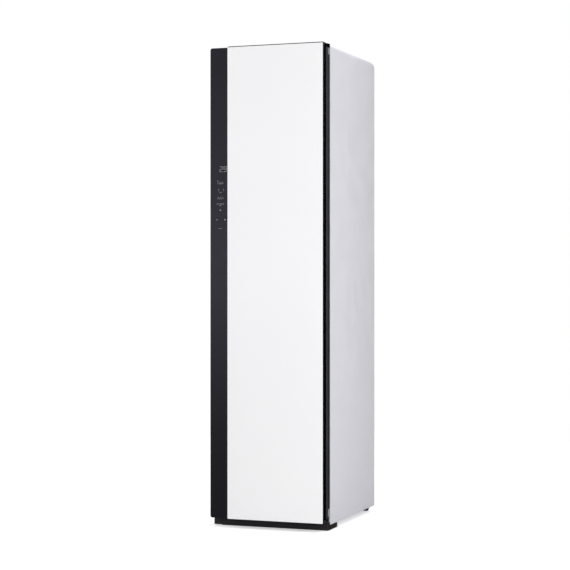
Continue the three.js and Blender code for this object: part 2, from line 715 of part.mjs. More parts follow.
function doorFrame() {
  const top = DOOR_TOP - CAP - FIT;
  const low = DOOR_LIFT + CAP + FIT;
  const front = FRONT + GLASS + FIT;
  const stripSeat = STRIP_BACK + FIT;
  const step = PANEL_LEFT + DOOR_WALL;
  const section = outline([
    [-SIDE, stripSeat],
    [step, stripSeat],
    [step, front],
    [SIDE, front, GLASS_EDGE],
    [SIDE, FRAME_BACK],
    [-SIDE, FRAME_BACK],
  ]);
  const face = rectangle(-SIDE, SIDE, low, top, DOOR_CORNER);
  let body = alongZ(section, low, top).intersect(alongY(face, FRONT, FRAME_BACK + OVERRUN));
  // The moulding is open behind, with cross ribs at an even pitch between its two hinge blocks.
  const hollowLow = low + TOP_NOTCH + HINGE_PIN_DEPTH + DOOR_WALL;
  const hollowTop = top - TOP_NOTCH - HINGE_PIN_DEPTH - DOOR_WALL;
  const bays = Math.max(1, Math.round((hollowTop - hollowLow) / FRAME_RIB_PITCH));
  const bay = (hollowTop - hollowLow) / bays;
  const hollowFront = front + DOOR_WALL;
  for (let i = 0; i < bays; i += 1) {
    const from = hollowLow + i * bay + DOOR_WALL / 2;
    const to = hollowLow + (i + 1) * bay - DOOR_WALL / 2;
    const left = step + GRIP_REACH + 2 * DOOR_WALL;
    body = body.subtract(block(left, SIDE - DOOR_WALL, hollowFront, FRAME_BACK + OVERRUN, from, to));
  }
  // A finger grip runs behind the left edge of the front panel.
  const gripFront = front + GRIP_FRONT_WALL;
  const grip = rectangle(step - OVERRUN, step + GRIP_REACH, GRIP_LOW, GRIP_LOW + GRIP_HEIGHT, GRIP_CORNER);
  body = body.subtract(alongY(grip, gripFront, stripSeat));
  const boardLeft = (-SIDE + PANEL_LEFT - BOARD_WIDTH) / 2 - FIT;
  const boardRight = boardLeft + BOARD_WIDTH + 2 * FIT;
  const boardBack = stripSeat + BOARD_PARTS + BOARD + FIT;
  const boardTop = BOARD_LOW + BOARD_HEIGHT + FIT;
  body = body.subtract(block(
    boardLeft,
    boardRight,
    stripSeat - OVERRUN,
    boardBack,
    BOARD_LOW - FIT,
    boardTop,
  ));
  return doorNotches(body);
}

function doorGlassPanel() {
  const face = rectangle(PANEL_LEFT, SIDE, DOOR_LIFT + CAP + FIT, DOOR_TOP - CAP - FIT, 2 * GLASS_EDGE);
  return pane(face, FRONT, GLASS, GLASS_EDGE);
}

function controlStripGlass() {
  const right = PANEL_LEFT + DOOR_WALL - FIT;
  const face = outline([
    [-SIDE, DOOR_LIFT, DOOR_CORNER],
    [right, DOOR_LIFT],
    [right, DOOR_TOP],
    [-SIDE, DOOR_TOP, DOOR_CORNER],
  ], FINE_CHORD);
  return pane(face, FRONT + STRIP_RECESS, STRIP_GLASS, GLASS_EDGE);
}

function displayBoard() {
  const left = (-SIDE + PANEL_LEFT - BOARD_WIDTH) / 2;
  const middle = left + BOARD_WIDTH / 2;
  const face = STRIP_BACK + FIT;
  const front = face + BOARD_PARTS;
  const top = BOARD_LOW + BOARD_HEIGHT;
  const solids = [block(left, left + BOARD_WIDTH, front, front + BOARD, BOARD_LOW, top)];
  const digitTop = top - DIGIT_BLOCK_DROP;
  const digitLeft = middle - DIGIT_BLOCK_WIDTH / 2;
  const digitLow = digitTop - DIGIT_BLOCK_HEIGHT;
  solids.push(block(digitLeft, digitLeft + DIGIT_BLOCK_WIDTH, face, front + BOARD / 2, digitLow, digitTop));
  for (let i = 0; i < KEY_COUNT; i += 1) {
    const height = digitLow - KEY_PITCH * (i + 1);
    solids.push(alongY(circle(middle, height, KEY_PAD / 2), face, front + BOARD / 2));
  }
  return joined(solids);
}

// The end caps close the front panel and the frame behind it, and leave the control strip its full height.
function doorCap(low, high) {
  const right = SIDE;
  const left = PANEL_LEFT + DOOR_WALL;
  const shape = rectangle(left, right, FRONT, FRAME_BACK);
  return doorNotches(alongZ(shape, low, high));
}

function doorLiner() {
  const inset = DOOR_LINER_INSET;
  const low = DOOR_LIFT + inset;
  const top = DOOR_TOP - inset;
  const side = SIDE - DOOR_LINER_SIDE_INSET;
  const face = DOOR_BACK - DOOR_WALL;
  const front = FRAME_BACK + FIT;
  let body = alongY(rectangle(-side, side, low, top, DOOR_LINER_CORNER), front, DOOR_BACK);
  // A block stays solid beside each hinge notch, and the rest is an open tray.
  const wall = DOOR_WALL;
  const hollow = rectangle(
    -side + wall,
    side - wall,
    low + BOTTOM_NOTCH + wall,
    top - TOP_NOTCH - wall,
    DOOR_CORNER,
  );
  let room = alongY(hollow, front - OVERRUN, face);
  const around = GASKET_WIDTH / 2 + wall;
  room = room.subtract(gasketRing(around, face - GASKET_DART, face + OVERRUN));
  body = body.subtract(room);
  body = body.subtract(gasketRing(
    GASKET_DART_WIDTH / 2 + FIT,
    DOOR_BACK - GASKET_DART - FIT,
    DOOR_BACK + OVERRUN,
  ));
  return doorNotches(body);
}

// A ring along the gasket's own line, this far to each side of it.
function gasketRing(halfWidth, from, to) {
  const side = SIDE - GASKET_SIDE_INSET - GASKET_WIDTH / 2;
  const low = GASKET_LOW + GASKET_WIDTH / 2;
  const top = GASKET_TOP - GASKET_WIDTH / 2;
  const far = rectangle(
    -side - halfWidth,
    side + halfWidth,
    low - halfWidth,
    top + halfWidth,
    GASKET_CORNER + halfWidth,
  );
  const near = rectangle(
    -side + halfWidth,
    side - halfWidth,
    low + halfWidth,
    top - halfWidth,
    GASKET_CORNER - halfWidth,
  );
  return alongY(withHole(far, near), from, to);
}

function doorGasket() {
  const dart = gasketRing(GASKET_DART_WIDTH / 2, DOOR_BACK - GASKET_DART, DOOR_BACK + FIT + GASKET_NECK / 2);
  const neck = gasketRing(GASKET_NECK / 2, DOOR_BACK + FIT, CASE_FRONT - GASKET_MAGNET);
  const magnet = gasketRing(GASKET_WIDTH / 2, CASE_FRONT - FIT - GASKET_MAGNET, CASE_FRONT - FIT);
  return dart.add(neck).add(magnet).add(gasketSkirt());
}

// A thin skirt on the gasket hides the gap between the door and the case, and stops short of the case.
function gasketSkirt() {
  const side = SIDE - SKIRT_INSET;
  const ring = (outside, inside, to) => alongY(
    withHole(
      rectangle(-outside, outside, GASKET_LOW, GASKET_TOP),
      rectangle(-inside, inside, GASKET_LOW + outside - inside, GASKET_TOP - outside + inside),
    ),
    DOOR_BACK + FIT,
    to,
  );
  const wall = ring(side, side - SKIRT_WALL, CASE_FRONT - SKIRT_GAP);
  const neck = SIDE - GASKET_SIDE_INSET - GASKET_WIDTH / 2;
  return wall.add(ring(side, neck, DOOR_BACK + FIT + SKIRT_WALL));
}

// Hinges

// The outline of a hinge arm, set in by a wall from the outline of the cover over it.
// The upper arm is as wide as the door's notch before the case, and as the case's pocket behind that.
function topHingeArm(margin) {
  const right = HINGE_X + HINGE_SIDE - margin;
  const left = HINGE_X - HINGE_REACH + margin;
  const nose = HINGE_NOSE - margin;
  const waist = CASE_FRONT - FIT - margin;
  const back = CASE_FRONT + POCKET_LENGTH - FIT - margin;
  return outline([
    [left, HINGE_Y - nose, nose],
    [right, HINGE_Y - nose, HINGE_SIDE - margin],
    [right, waist],
    [POCKET_RIGHT - FIT - margin, waist],
    [POCKET_RIGHT - FIT - margin, back],
    [left, back],
  ]);
}

function topHingeBracket() {
  const low = POCKET_FLOOR + FIT;
  const plate = alongZ(topHingeArm(HINGE_COVER + FIT), low, low + HINGE_PLATE);
  // The plate narrows to the pin in front of the case.
  const narrow = outline([
    [HINGE_X - HINGE_REACH, HINGE_Y - HINGE_NOSE],
    [HINGE_X - HINGE_NOSE, HINGE_Y - HINGE_NOSE],
    [HINGE_X - HINGE_NOSE, HINGE_Y + HINGE_NOSE],
    [HINGE_X - HINGE_REACH, CASE_FRONT],
  ]);
  const bore = roundHole(HINGE_X, HINGE_Y, HINGE_PIN + FIT);
  return plate
    .subtract(alongZ(narrow, low - OVERRUN, low + OVERRUN))
    .subtract(alongZ(bore, low - OVERRUN, low + OVERRUN));
}

function topHingePin() {
  const seat = POCKET_FLOOR + 2 * FIT + HINGE_PLATE;
  const tip = NOTCH_FLOOR - HINGE_PIN_DEPTH;
  return turned([
    [0, tip],
    [HINGE_PIN - GLASS_EDGE, tip],
    [HINGE_PIN, tip + GLASS_EDGE],
    [HINGE_PIN, seat],
    [HINGE_PIN_HEAD, seat],
    [HINGE_PIN_HEAD, seat + CAP],
    [0, seat + CAP],
  ]).translate([HINGE_X, HINGE_Y, 0]);
}

function topHingeCover() {
  const top = HEIGHT - FIT;
  const back = CASE_FRONT + POCKET_LENGTH;
  const low = NOTCH_FLOOR + HINGE_NOTCH_GAP;
  const arm = alongZ(topHingeArm(0), low, top);
  // A flare closes the gap to the door's side, clear of the door's sweep.
  const flare = block(HINGE_X, SIDE - FIT, HINGE_Y + HINGE_FLARE, CASE_FRONT - FIT, low, top);
  const overCase = block(-SIDE, SIDE, CASE_FRONT - FIT, back, low - OVERRUN, POCKET_FLOOR + FIT);
  const room = alongZ(topHingeArm(HINGE_COVER), low - OVERRUN, top - HINGE_COVER);
  return arm.add(flare).subtract(overCase).subtract(room);
}

function bottomHingeBracket() {
  const low = DOOR_LIFT + FIT;
  const back = CASE_FRONT - FIT;
  const plate = alongZ(hingeArm(HINGE_REACH, back), low, low + BOTTOM_PLATE);
  const flangeTop = low + BOTTOM_FLANGE_RISE;
  const corner = BOTTOM_FLANGE_CORNER;
  const flangeFace = rectangle(HINGE_X - HINGE_REACH, HINGE_X + HINGE_SIDE, low, flangeTop, corner);
  const flange = alongY(flangeFace, back - BOTTOM_PLATE, back);
  const bore = roundHole(HINGE_X, HINGE_Y, HINGE_PIN + FIT);
  return plate.add(flange).subtract(alongZ(bore, low - OVERRUN, low + OVERRUN));
}

// The lower pin carries the door on its collar, with a shouldered end below the plate.
function bottomHingePin() {
  const plateTop = DOOR_LIFT + FIT + BOTTOM_PLATE + FIT;
  const collarTop = NOTCH_CEILING - FIT;
  const tip = NOTCH_CEILING + HINGE_PIN_DEPTH;
  return turned([
    [0, DOOR_LIFT + FIT],
    [HINGE_PIN, DOOR_LIFT + FIT],
    [HINGE_PIN, plateTop],
    [WASHER_RADIUS, plateTop],
    [WASHER_RADIUS, collarTop],
    [HINGE_PIN, collarTop],
    [HINGE_PIN, tip - GLASS_EDGE],
    [HINGE_PIN - GLASS_EDGE, tip],
    [0, tip],
  ]).translate([HINGE_X, HINGE_Y, 0]);
}

// Case

// The case as a solid block, with its rounded long edges and top rear corner, set in by a wall.
function caseBlock(inset, front, back, low) {
  const side = SIDE - inset;
  const top = HEIGHT - inset;
  const edge = CASE_EDGE - inset;
  const rear = CASE_BACK_CORNER - inset;
  const fromFront = outline([[-side, low], [side, low], [side, top, edge], [-side, top, edge]], FINE_CHORD);
  const fromSide = outline([[front, low], [back, low], [back, top, rear], [front, top]], FINE_CHORD);
  return alongY(fromFront, front, back).intersect(alongX(fromSide, -SIDE - OVERRUN, SIDE + OVERRUN));
}

// The step in the case's top, beside its rounded right edge, that holds the hinge.
function hingePocket(margin) {
  const left = SIDE - POCKET_WIDTH - margin;
  const right = POCKET_RIGHT + margin;
  const back = CASE_FRONT + POCKET_LENGTH + margin;
  return block(left, right, CASE_FRONT - OVERRUN, back, POCKET_FLOOR - margin, HEIGHT + OVERRUN);
}

function outerCase() {
  const outside = caseBlock(0, CASE_FRONT, BACK, CASE_BOTTOM);
  const inside = caseBlock(SHEET, CASE_FRONT + SHEET, BACK - SHEET, CASE_BOTTOM - OVERRUN);
  const wide = SIDE - CASE_FLANGE;
  const low = CASE_BOTTOM - OVERRUN;
  const frontOpening = block(
    -wide,
    wide,
    CASE_FRONT - OVERRUN,
    CASE_FRONT + 2 * SHEET,
    low,
    HEIGHT - CASE_TOP_FLANGE,
  );
  const rearTop = HEIGHT - CASE_BACK_CORNER - REAR_LIP;
  const rearSide = SIDE - REAR_LIP;
  const rearOpening = block(-rearSide, rearSide, BACK - 2 * SHEET, BACK + OVERRUN, low, rearTop);
  return outside
    .subtract(hingePocket(0))
    .subtract(inside.subtract(hingePocket(SHEET)))
    .subtract(frontOpening)
    .subtract(rearOpening);
}

function rearPanel() {
  const back = BACK - SHEET - FIT;
  const side = SIDE - SHEET - FIT;
  const top = HEIGHT - CASE_BACK_CORNER - FIT;
  const low = PAN_TOP + PAN_RISE + FIT;
  let body = block(-side, side, REAR_PLANE, back, low, top);
  // Two fields are pressed out to stiffen the sheet, above and round the air slots.
  const fieldSide = side - EMBOSS_INSET;
  const split = LOUVRE_LOW + LOUVRE_ROWS * LOUVRE_PITCH + EMBOSS_GAP;
  const fields = [[LOUVRE_LOW - EMBOSS_GAP / 2, split], [split + EMBOSS_GAP, top - EMBOSS_INSET]];
  for (const [from, to] of fields) {
    const outer = rectangle(-fieldSide, fieldSide, from, to, EMBOSS_CORNER);
    const wall = REAR_SHEET;
    const inner = rectangle(
      -fieldSide + wall,
      fieldSide - wall,
      from + wall,
      to - wall,
      EMBOSS_CORNER - wall,
    );
    body = body.add(alongY(outer, REAR_PLANE, back + EMBOSS_RAISE));
    body = body.subtract(alongY(inner, REAR_PLANE - OVERRUN, back + EMBOSS_RAISE - REAR_SHEET));
  }
  for (let row = 0; row < LOUVRE_ROWS; row += 1) {
    for (let column = 0; column < LOUVRE_COLUMNS; column += 1) {
      const x = (column - (LOUVRE_COLUMNS - 1) / 2) * LOUVRE_COLUMN_PITCH;
      const z = LOUVRE_LOW + row * LOUVRE_PITCH;
      const left = x - LOUVRE_LENGTH / 2;
      body = body.subtract(block(
        left,
        left + LOUVRE_LENGTH,
        REAR_PLANE - OVERRUN,
        BACK + OVERRUN,
        z,
        z + LOUVRE_HEIGHT,
      ));
    }
  }
  const bore = roundHole(INLET_SIDE, INLET_HEIGHT, INLET_BARREL + FIT);
  return body.subtract(alongY(bore, REAR_PLANE - OVERRUN, BACK + OVERRUN));
}

function rollerPlace(side) {
  return side * (SIDE - ROLLER_INSET);
}

function basePan() {
  const side = SIDE - SHEET - FIT;
  const front = CASE_FRONT + SHEET + FIT;
  const back = REAR_PLANE - FIT;
  const tray = block(-side, side, front, back, CASE_BOTTOM, PAN_TOP + PAN_RISE);
  const wall = PAN_FLOOR;
  const room = block(
    -side + wall,
    side - wall,
    front + wall,
    back - wall,
    PAN_TOP,
    PAN_TOP + PAN_RISE + OVERRUN,
  );
  const sillSide = SIDE - CASE_FLANGE - FIT;
  const sill = block(-sillSide, sillSide, CASE_FRONT, front + wall, CASE_BOTTOM, SILL_TOP);
  let body = tray.subtract(room).add(sill);
  for (const hand of [-1, 1]) {
    const footX = hand * (SIDE - FOOT_INSET);
    const footY = FRONT + FOOT_SETBACK;
    body = body.add(alongZ(circle(footX, footY, FOOT_BOSS), CASE_BOTTOM, PAN_TOP + FOOT_BOSS_HEIGHT));
    const bore = roundHole(footX, footY, FOOT_STUD + FIT);
    body = body.subtract(alongZ(bore, CASE_BOTTOM - OVERRUN, PAN_TOP + FOOT_BOSS_HEIGHT + OVERRUN));
    // Each roller turns between two cheeks, in a well cut through the floor.
    const x = rollerPlace(hand);
    const y = BACK - ROLLER_FROM_BACK;
    const half = ROLLER_WIDTH / 2 + FIT;
    const well = rectangle(x - half, x + half, y - ROLLER_RADIUS - WELL_GAP, y + ROLLER_RADIUS + WELL_GAP);
    body = body.subtract(alongZ(well, CASE_BOTTOM - OVERRUN, PAN_TOP + OVERRUN));
    const headReach = half + CHEEK + AXLE_HEAD_LENGTH + 3 * FIT;
    const headSide = AXLE_HEAD + FIT;
    const heads = rectangle(x - headReach, x + headReach, y - headSide, y + headSide);
    body = body.subtract(alongZ(heads, CASE_BOTTOM - OVERRUN, PAN_TOP + OVERRUN));
    const low = CASE_BOTTOM - CHEEK_DROP;
    const shape = rectangle(
      y - CHEEK_WIDTH / 2,
      y + CHEEK_WIDTH / 2,
      low,
      PAN_TOP + CHEEK_RISE,
      ROLLER_RADIUS / 2,
    );
    for (const end of [-1, 1]) {
      const inner = x + end * half;
      const outer = inner + end * CHEEK;
      body = body.add(alongX(shape, Math.min(inner, outer), Math.max(inner, outer)));
    }
    const axle = roundHole(y, ROLLER_RADIUS, AXLE_RADIUS + FIT);
    const reach = half + CHEEK + OVERRUN;
    body = body.subtract(alongX(axle, x - reach, x + reach));
  }
  return body;
}

// The skirt below the door: a front wall, side returns and an inner flange against the base pan.
function plinthSolid() {
  const front = FRONT + PLINTH_SETBACK;
  const back = FRONT + PLINTH_RETURN;
  const high = DOOR_LIFT - PLINTH_TOP_GAP;
  const wall = PLINTH_WALL;
  const under = CASE_BOTTOM - FIT;
  const outer = outline([
    [-SIDE, front, PLINTH_CORNER],
    [SIDE, front, PLINTH_CORNER],
    [SIDE, back],
    [-SIDE, back],
  ]);
  const inner = outline([
    [-SIDE + wall, front + wall, PLINTH_CORNER - wall],
    [SIDE - wall, front + wall, PLINTH_CORNER - wall],
    [SIDE - wall, back + OVERRUN],
    [-SIDE + wall, back + OVERRUN],
  ]);
  const walls = alongZ(outer, PLINTH_CLEARANCE, high).subtract(alongZ(inner, 0, high + OVERRUN));
  const shelf = block(-SIDE + wall, SIDE - wall, front + wall / 2, CASE_FRONT - FIT, high - wall, high);
  const flange = block(
    -SIDE + wall / 2,
    SIDE - wall / 2,
    front + wall / 2,
    CASE_FRONT + PLINTH_FLANGE,
    under - wall,
    under,
  );
  const overlap = block(
    -SIDE - OVERRUN,
    SIDE + OVERRUN,
    CASE_FRONT - FIT,
    back + OVERRUN,
    under,
    high + OVERRUN,
  );
  const profile = rectangle(front - OVERRUN, back, -ROLLER_RADIUS, under, PLINTH_CORNER);
  const ends = alongX(profile, -SIDE - OVERRUN, SIDE + OVERRUN);
  const above = block(
    -SIDE - OVERRUN,
    SIDE + OVERRUN,
    front - OVERRUN,
    back - PLINTH_CORNER,
    0,
    high + OVERRUN,
  );
  return walls.add(shelf).add(flange).subtract(overlap).intersect(ends.add(above));
}

function plinthCut() {
  return -SIDE + PLINTH_END_WIDTH;
}

function frontPlinth() {
  const cut = plinthCut();
  return plinthSolid().subtract(block(-SIDE - OVERRUN, cut, FRONT, BACK, 0, HEIGHT));
}

function plinthEndCover() {
  const cut = plinthCut() - FIT;
  const body = plinthSolid().subtract(block(cut, SIDE + OVERRUN, FRONT, BACK, 0, HEIGHT));
  const low = PLINTH_CLEARANCE + PLINTH_END_LIFT;
  return body.subtract(block(-SIDE - OVERRUN, SIDE, FRONT, BACK, 0, low));
}

function levellingFoot() {
  const hexTop = FOOT_PAD + FOOT_HEX;
  const pad = turned([
    [0, 0],
    [FOOT_RADIUS - GLASS_EDGE, 0],
    [FOOT_RADIUS, GLASS_EDGE],
    [FOOT_RADIUS, FOOT_PAD / 2],
    [FOOT_BOSS, FOOT_PAD],
    [0, FOOT_PAD],
  ]);
  const nut = alongZ(circle(0, 0, FOOT_BOSS, HEX_SIDES), FOOT_PAD / 2, hexTop);
  const stud = alongZ(circle(0, 0, FOOT_STUD), FOOT_PAD / 2, FOOT_STUD_LENGTH);
  return pad.add(nut).add(stud);
}

function rearRoller() {
  const half = ROLLER_WIDTH / 2;
  const bore = AXLE_RADIUS + FIT;
  return turned([
    [bore, -half],
    [ROLLER_RADIUS - ROLLER_EDGE, -half],
    [ROLLER_RADIUS, -half + ROLLER_EDGE],
    [ROLLER_RADIUS, half - ROLLER_EDGE],
    [ROLLER_RADIUS - ROLLER_EDGE, half],
    [ROLLER_RADIUS / 2, half],
    [ROLLER_RADIUS / 2, half - ROLLER_GROOVE],
    [bore + ROLLER_GROOVE, half - ROLLER_GROOVE],
    [bore, half],
    [bore, -half],
  ]);
}

function rollerAxle() {
  const half = ROLLER_WIDTH / 2 + FIT + CHEEK + FIT;
  return turned([
    [0, -half - AXLE_HEAD_LENGTH],
    [AXLE_HEAD, -half - AXLE_HEAD_LENGTH],
    [AXLE_HEAD, -half],
    [AXLE_RADIUS, -half],
    [AXLE_RADIUS, half],
    [AXLE_HEAD, half],
    [AXLE_HEAD, half + AXLE_HEAD_LENGTH],
    [0, half + AXLE_HEAD_LENGTH],
  ]);
}

// Chamber

function chamberBlock(grow, front, low, high) {
  const side = CHAMBER_SIDE + grow;
  const back = CHAMBER_REAR + grow;
  const topCorner = CHAMBER_TOP_CORNER + grow;
  const corner = CHAMBER_CORNER + grow;
  const fromFront = outline([[-side, low], [side, low], [side, high, topCorner], [-side, high, topCorner]]);
  const fromAbove = outline([[-side, front], [side, front], [side, back, corner], [-side, back, corner]]);
  return alongY(fromFront, front, back).intersect(alongZ(fromAbove, low, high));
}

// The openings that the pieces set into the chamber's floor and ceiling need.
function chamberOpenings() {
  const low = CHAMBER_FLOOR - LINER - OVERRUN;
  const high = CHAMBER_FLOOR + OVERRUN;
  const filterY = FRONT + FILTER_SETBACK;
  const grilleBack = CHAMBER_REAR - GRILLE_FROM_BACK + GRILLE_LENGTH;
  const grilleHalf = GRILLE_WIDTH / 2;
  const grilleX = FAN_SIDE;
  const lampHalf = LAMP_LENGTH / 2;
  const lampY = FRONT + LAMP_SETBACK;
  const ceiling = CHAMBER_TOP - OVERRUN;
  const above = CHAMBER_TOP + LINER + OVERRUN;
  const filterHalf = FILTER_WIDTH / 2;
  const filterBack = filterY + FILTER_LENGTH;
  const filterHole = rectangle(
    FILTER_SIDE - filterHalf,
    FILTER_SIDE + filterHalf,
    filterY,
    filterBack,
    FILTER_CORNER,
  );
  const aromaHalf = AROMA_WIDTH / 2;
  const aromaBack = filterY + AROMA_LENGTH;
  const aromaHole = rectangle(
    AROMA_SIDE - aromaHalf,
    AROMA_SIDE + aromaHalf,
    filterY,
    aromaBack,
    AROMA_CORNER,
  );
  const holes = [
    alongZ(filterHole, low, high),
    alongZ(aromaHole, low, high),
    alongZ(rectangle(
      grilleX - grilleHalf, grilleX + grilleHalf, grilleBack - GRILLE_LENGTH, grilleBack, GRILLE_CORNER,
    ), low, high),
    alongZ(roundHole(-NOZZLE_SIDE, NOZZLE_Y, NOZZLE_SPIGOT + FIT), low, high),
    alongZ(roundHole(0, DRIVE_Y, CRANK_HOLE), ceiling, above),
    alongZ(
      rectangle(-lampHalf, lampHalf, lampY - LAMP_WIDTH / 2, lampY + LAMP_WIDTH / 2, LAMP_CORNER),
      ceiling,
      above,
    ),
  ];
  return joined(holes);
}

function innerLiner() {
  const lipFront = CASE_FRONT - FIT - LIP;
  const apronLow = CHAMBER_FLOOR - APRON_DROP;
  const outer = chamberBlock(LINER, lipFront, CHAMBER_FLOOR - LINER, CHAMBER_TOP + LINER);
  const inner = chamberBlock(0, lipFront - OVERRUN, CHAMBER_FLOOR, CHAMBER_TOP);
  const lipSide = CHAMBER_SIDE + LINER + LIP_WIDTH;
  const lipTop = CHAMBER_TOP + LINER + LIP_WIDTH;
  const lipFace = outline([
    [
      -lipSide,
      apronLow,
    ], [lipSide, apronLow], [lipSide, lipTop, CHAMBER_CORNER], [-lipSide, lipTop, CHAMBER_CORNER],
  ]);
  const lip = alongY(lipFace, lipFront, CASE_FRONT - FIT);
  let body = outer.add(lip).subtract(inner).subtract(chamberOpenings());
  const shelfFront = FRONT + SHELF_SETBACK;
  for (const hand of [-1, 1]) {
    // A ledge carries the shelf, and two sockets hold the ends of the hanger rails.
    const wall = hand * (CHAMBER_SIDE + FIT);
    const edge = hand * (CHAMBER_SIDE - LEDGE_WIDTH);
    const profile = outline([
      [wall, SHELF_HEIGHT],
      [edge, SHELF_HEIGHT],
      [wall, SHELF_HEIGHT - LEDGE - LEDGE_WIDTH],
    ]);
    body = body.add(alongY(profile, shelfFront, shelfFront + SHELF_LENGTH));
    for (const offset of [-RAIL_SPREAD, RAIL_SPREAD]) {
      const inside = hand * (CHAMBER_SIDE - SOCKET_LENGTH);
      const from = Math.min(inside, wall);
      const to = Math.max(inside, wall);
      body = body.add(alongX(circle(DRIVE_Y + offset, RAIL_HEIGHT, SOCKET_RADIUS), from, to));
      const bore = roundHole(DRIVE_Y + offset, RAIL_HEIGHT, RAIL_RADIUS + FIT);
      const stop = hand * CHAMBER_SIDE;
      const open = hand * (CHAMBER_SIDE - SOCKET_LENGTH - OVERRUN);
      body = body.subtract(alongX(bore, Math.min(stop, open), Math.max(stop, open)));
    }
  }
  return body;
}

function foamInsulation() {
  const low = CHAMBER_FLOOR - LINER;
  const front = CASE_FRONT + SHEET + FIT;
  const body = caseBlock(SHEET + FIT, front, REAR_PLANE - FIT, low);
  const liner = chamberBlock(LINER + FIT, front - OVERRUN, low - OVERRUN, CHAMBER_TOP + LINER + FIT);
  const gap = DRIVE_POCKET_GAP;
  const pocketTop = CHAMBER_TOP + LINER + DRIVE_HEIGHT + DRIVE_MOTOR_HEIGHT + gap;
  const halfWidth = DRIVE_WIDTH / 2 + gap;
  const halfDepth = DRIVE_DEPTH / 2 + gap;
  const pocket = block(
    -halfWidth,
    halfWidth,
    DRIVE_Y - halfDepth,
    DRIVE_Y + halfDepth,
    CHAMBER_TOP,
    pocketTop,
  );
  return body.subtract(liner).subtract(pocket).subtract(hingePocket(SHEET + FIT));
}

function lampLens() {
  const halfLength = LAMP_LENGTH / 2;
  const halfWidth = LAMP_WIDTH / 2;
  const y = FRONT + LAMP_SETBACK;
  const body = rectangle(
    -halfLength + FIT,
    halfLength - FIT,
    y - halfWidth + FIT,
    y + halfWidth - FIT,
    LAMP_CORNER,
  );
  const reach = halfLength + LAMP_FLANGE;
  const across = halfWidth + LAMP_FLANGE;
  const flange = rectangle(-reach, reach, y - across, y + across, LAMP_CORNER + LAMP_FLANGE);
  const under = CHAMBER_TOP - FIT;
  return alongZ(
    body,
    under - LAMP_LENS,
    CHAMBER_TOP + LINER - FIT,
  ).add(alongZ(flange, under - LAMP_LENS, under));
}

// A louvred plate over the fan's outlet, resting on the chamber's floor by its flange.
function outletGrille() {
  const back = CHAMBER_REAR - GRILLE_FROM_BACK + GRILLE_LENGTH - FIT;
  const front = CHAMBER_REAR - GRILLE_FROM_BACK + FIT;
  const half = GRILLE_WIDTH / 2 - FIT;
  const low = CHAMBER_FLOOR - LINER;
  const top = CHAMBER_FLOOR + FIT + GRILLE_PLATE;
  const x = FAN_SIDE;
  const reach = GRILLE_FLANGE;
  const neck = alongZ(rectangle(x - half, x + half, front, back, GRILLE_CORNER), low, top);
  const flangeShape = rectangle(
    x - half - reach,
    x + half + reach,
    front - reach,
    back + reach,
    GRILLE_CORNER + reach,
  );
  let body = neck.add(alongZ(flangeShape, CHAMBER_FLOOR + FIT, top));
  const pitch = (2 * half) / GRILLE_SLOTS;
  for (let i = 0; i < GRILLE_SLOTS; i += 1) {
    const middle = x - half + pitch * (i + 0.5);
    const slot = (pitch * GRILLE_SLOT_SHARE) / 2;
    const shape = rectangle(middle - slot, middle + slot, front + reach, back - reach);
    body = body.subtract(alongZ(shape, low - OVERRUN, top + OVERRUN));
  }
  return body;
}

function steamNozzle() {
  const seat = CHAMBER_FLOOR + FIT;
  const low = CHAMBER_FLOOR - LINER - NOZZLE_SPIGOT_DROP;
  return turned([
    [NOZZLE_BORE, low],
    [NOZZLE_SPIGOT, low],
    [NOZZLE_SPIGOT, seat],
    [NOZZLE_RADIUS, seat],
    [NOZZLE_RADIUS, seat + NOZZLE_HEIGHT / 4],
    [NOZZLE_RADIUS * NOZZLE_SHOULDER_SHARE, seat + NOZZLE_HEIGHT * NOZZLE_RISE_SHARE],
    [NOZZLE_RADIUS / 2, seat + NOZZLE_HEIGHT],
    [NOZZLE_BORE, seat + NOZZLE_HEIGHT],
    [NOZZLE_BORE, low],
  ]).translate([-NOZZLE_SIDE, NOZZLE_Y, 0]);
}

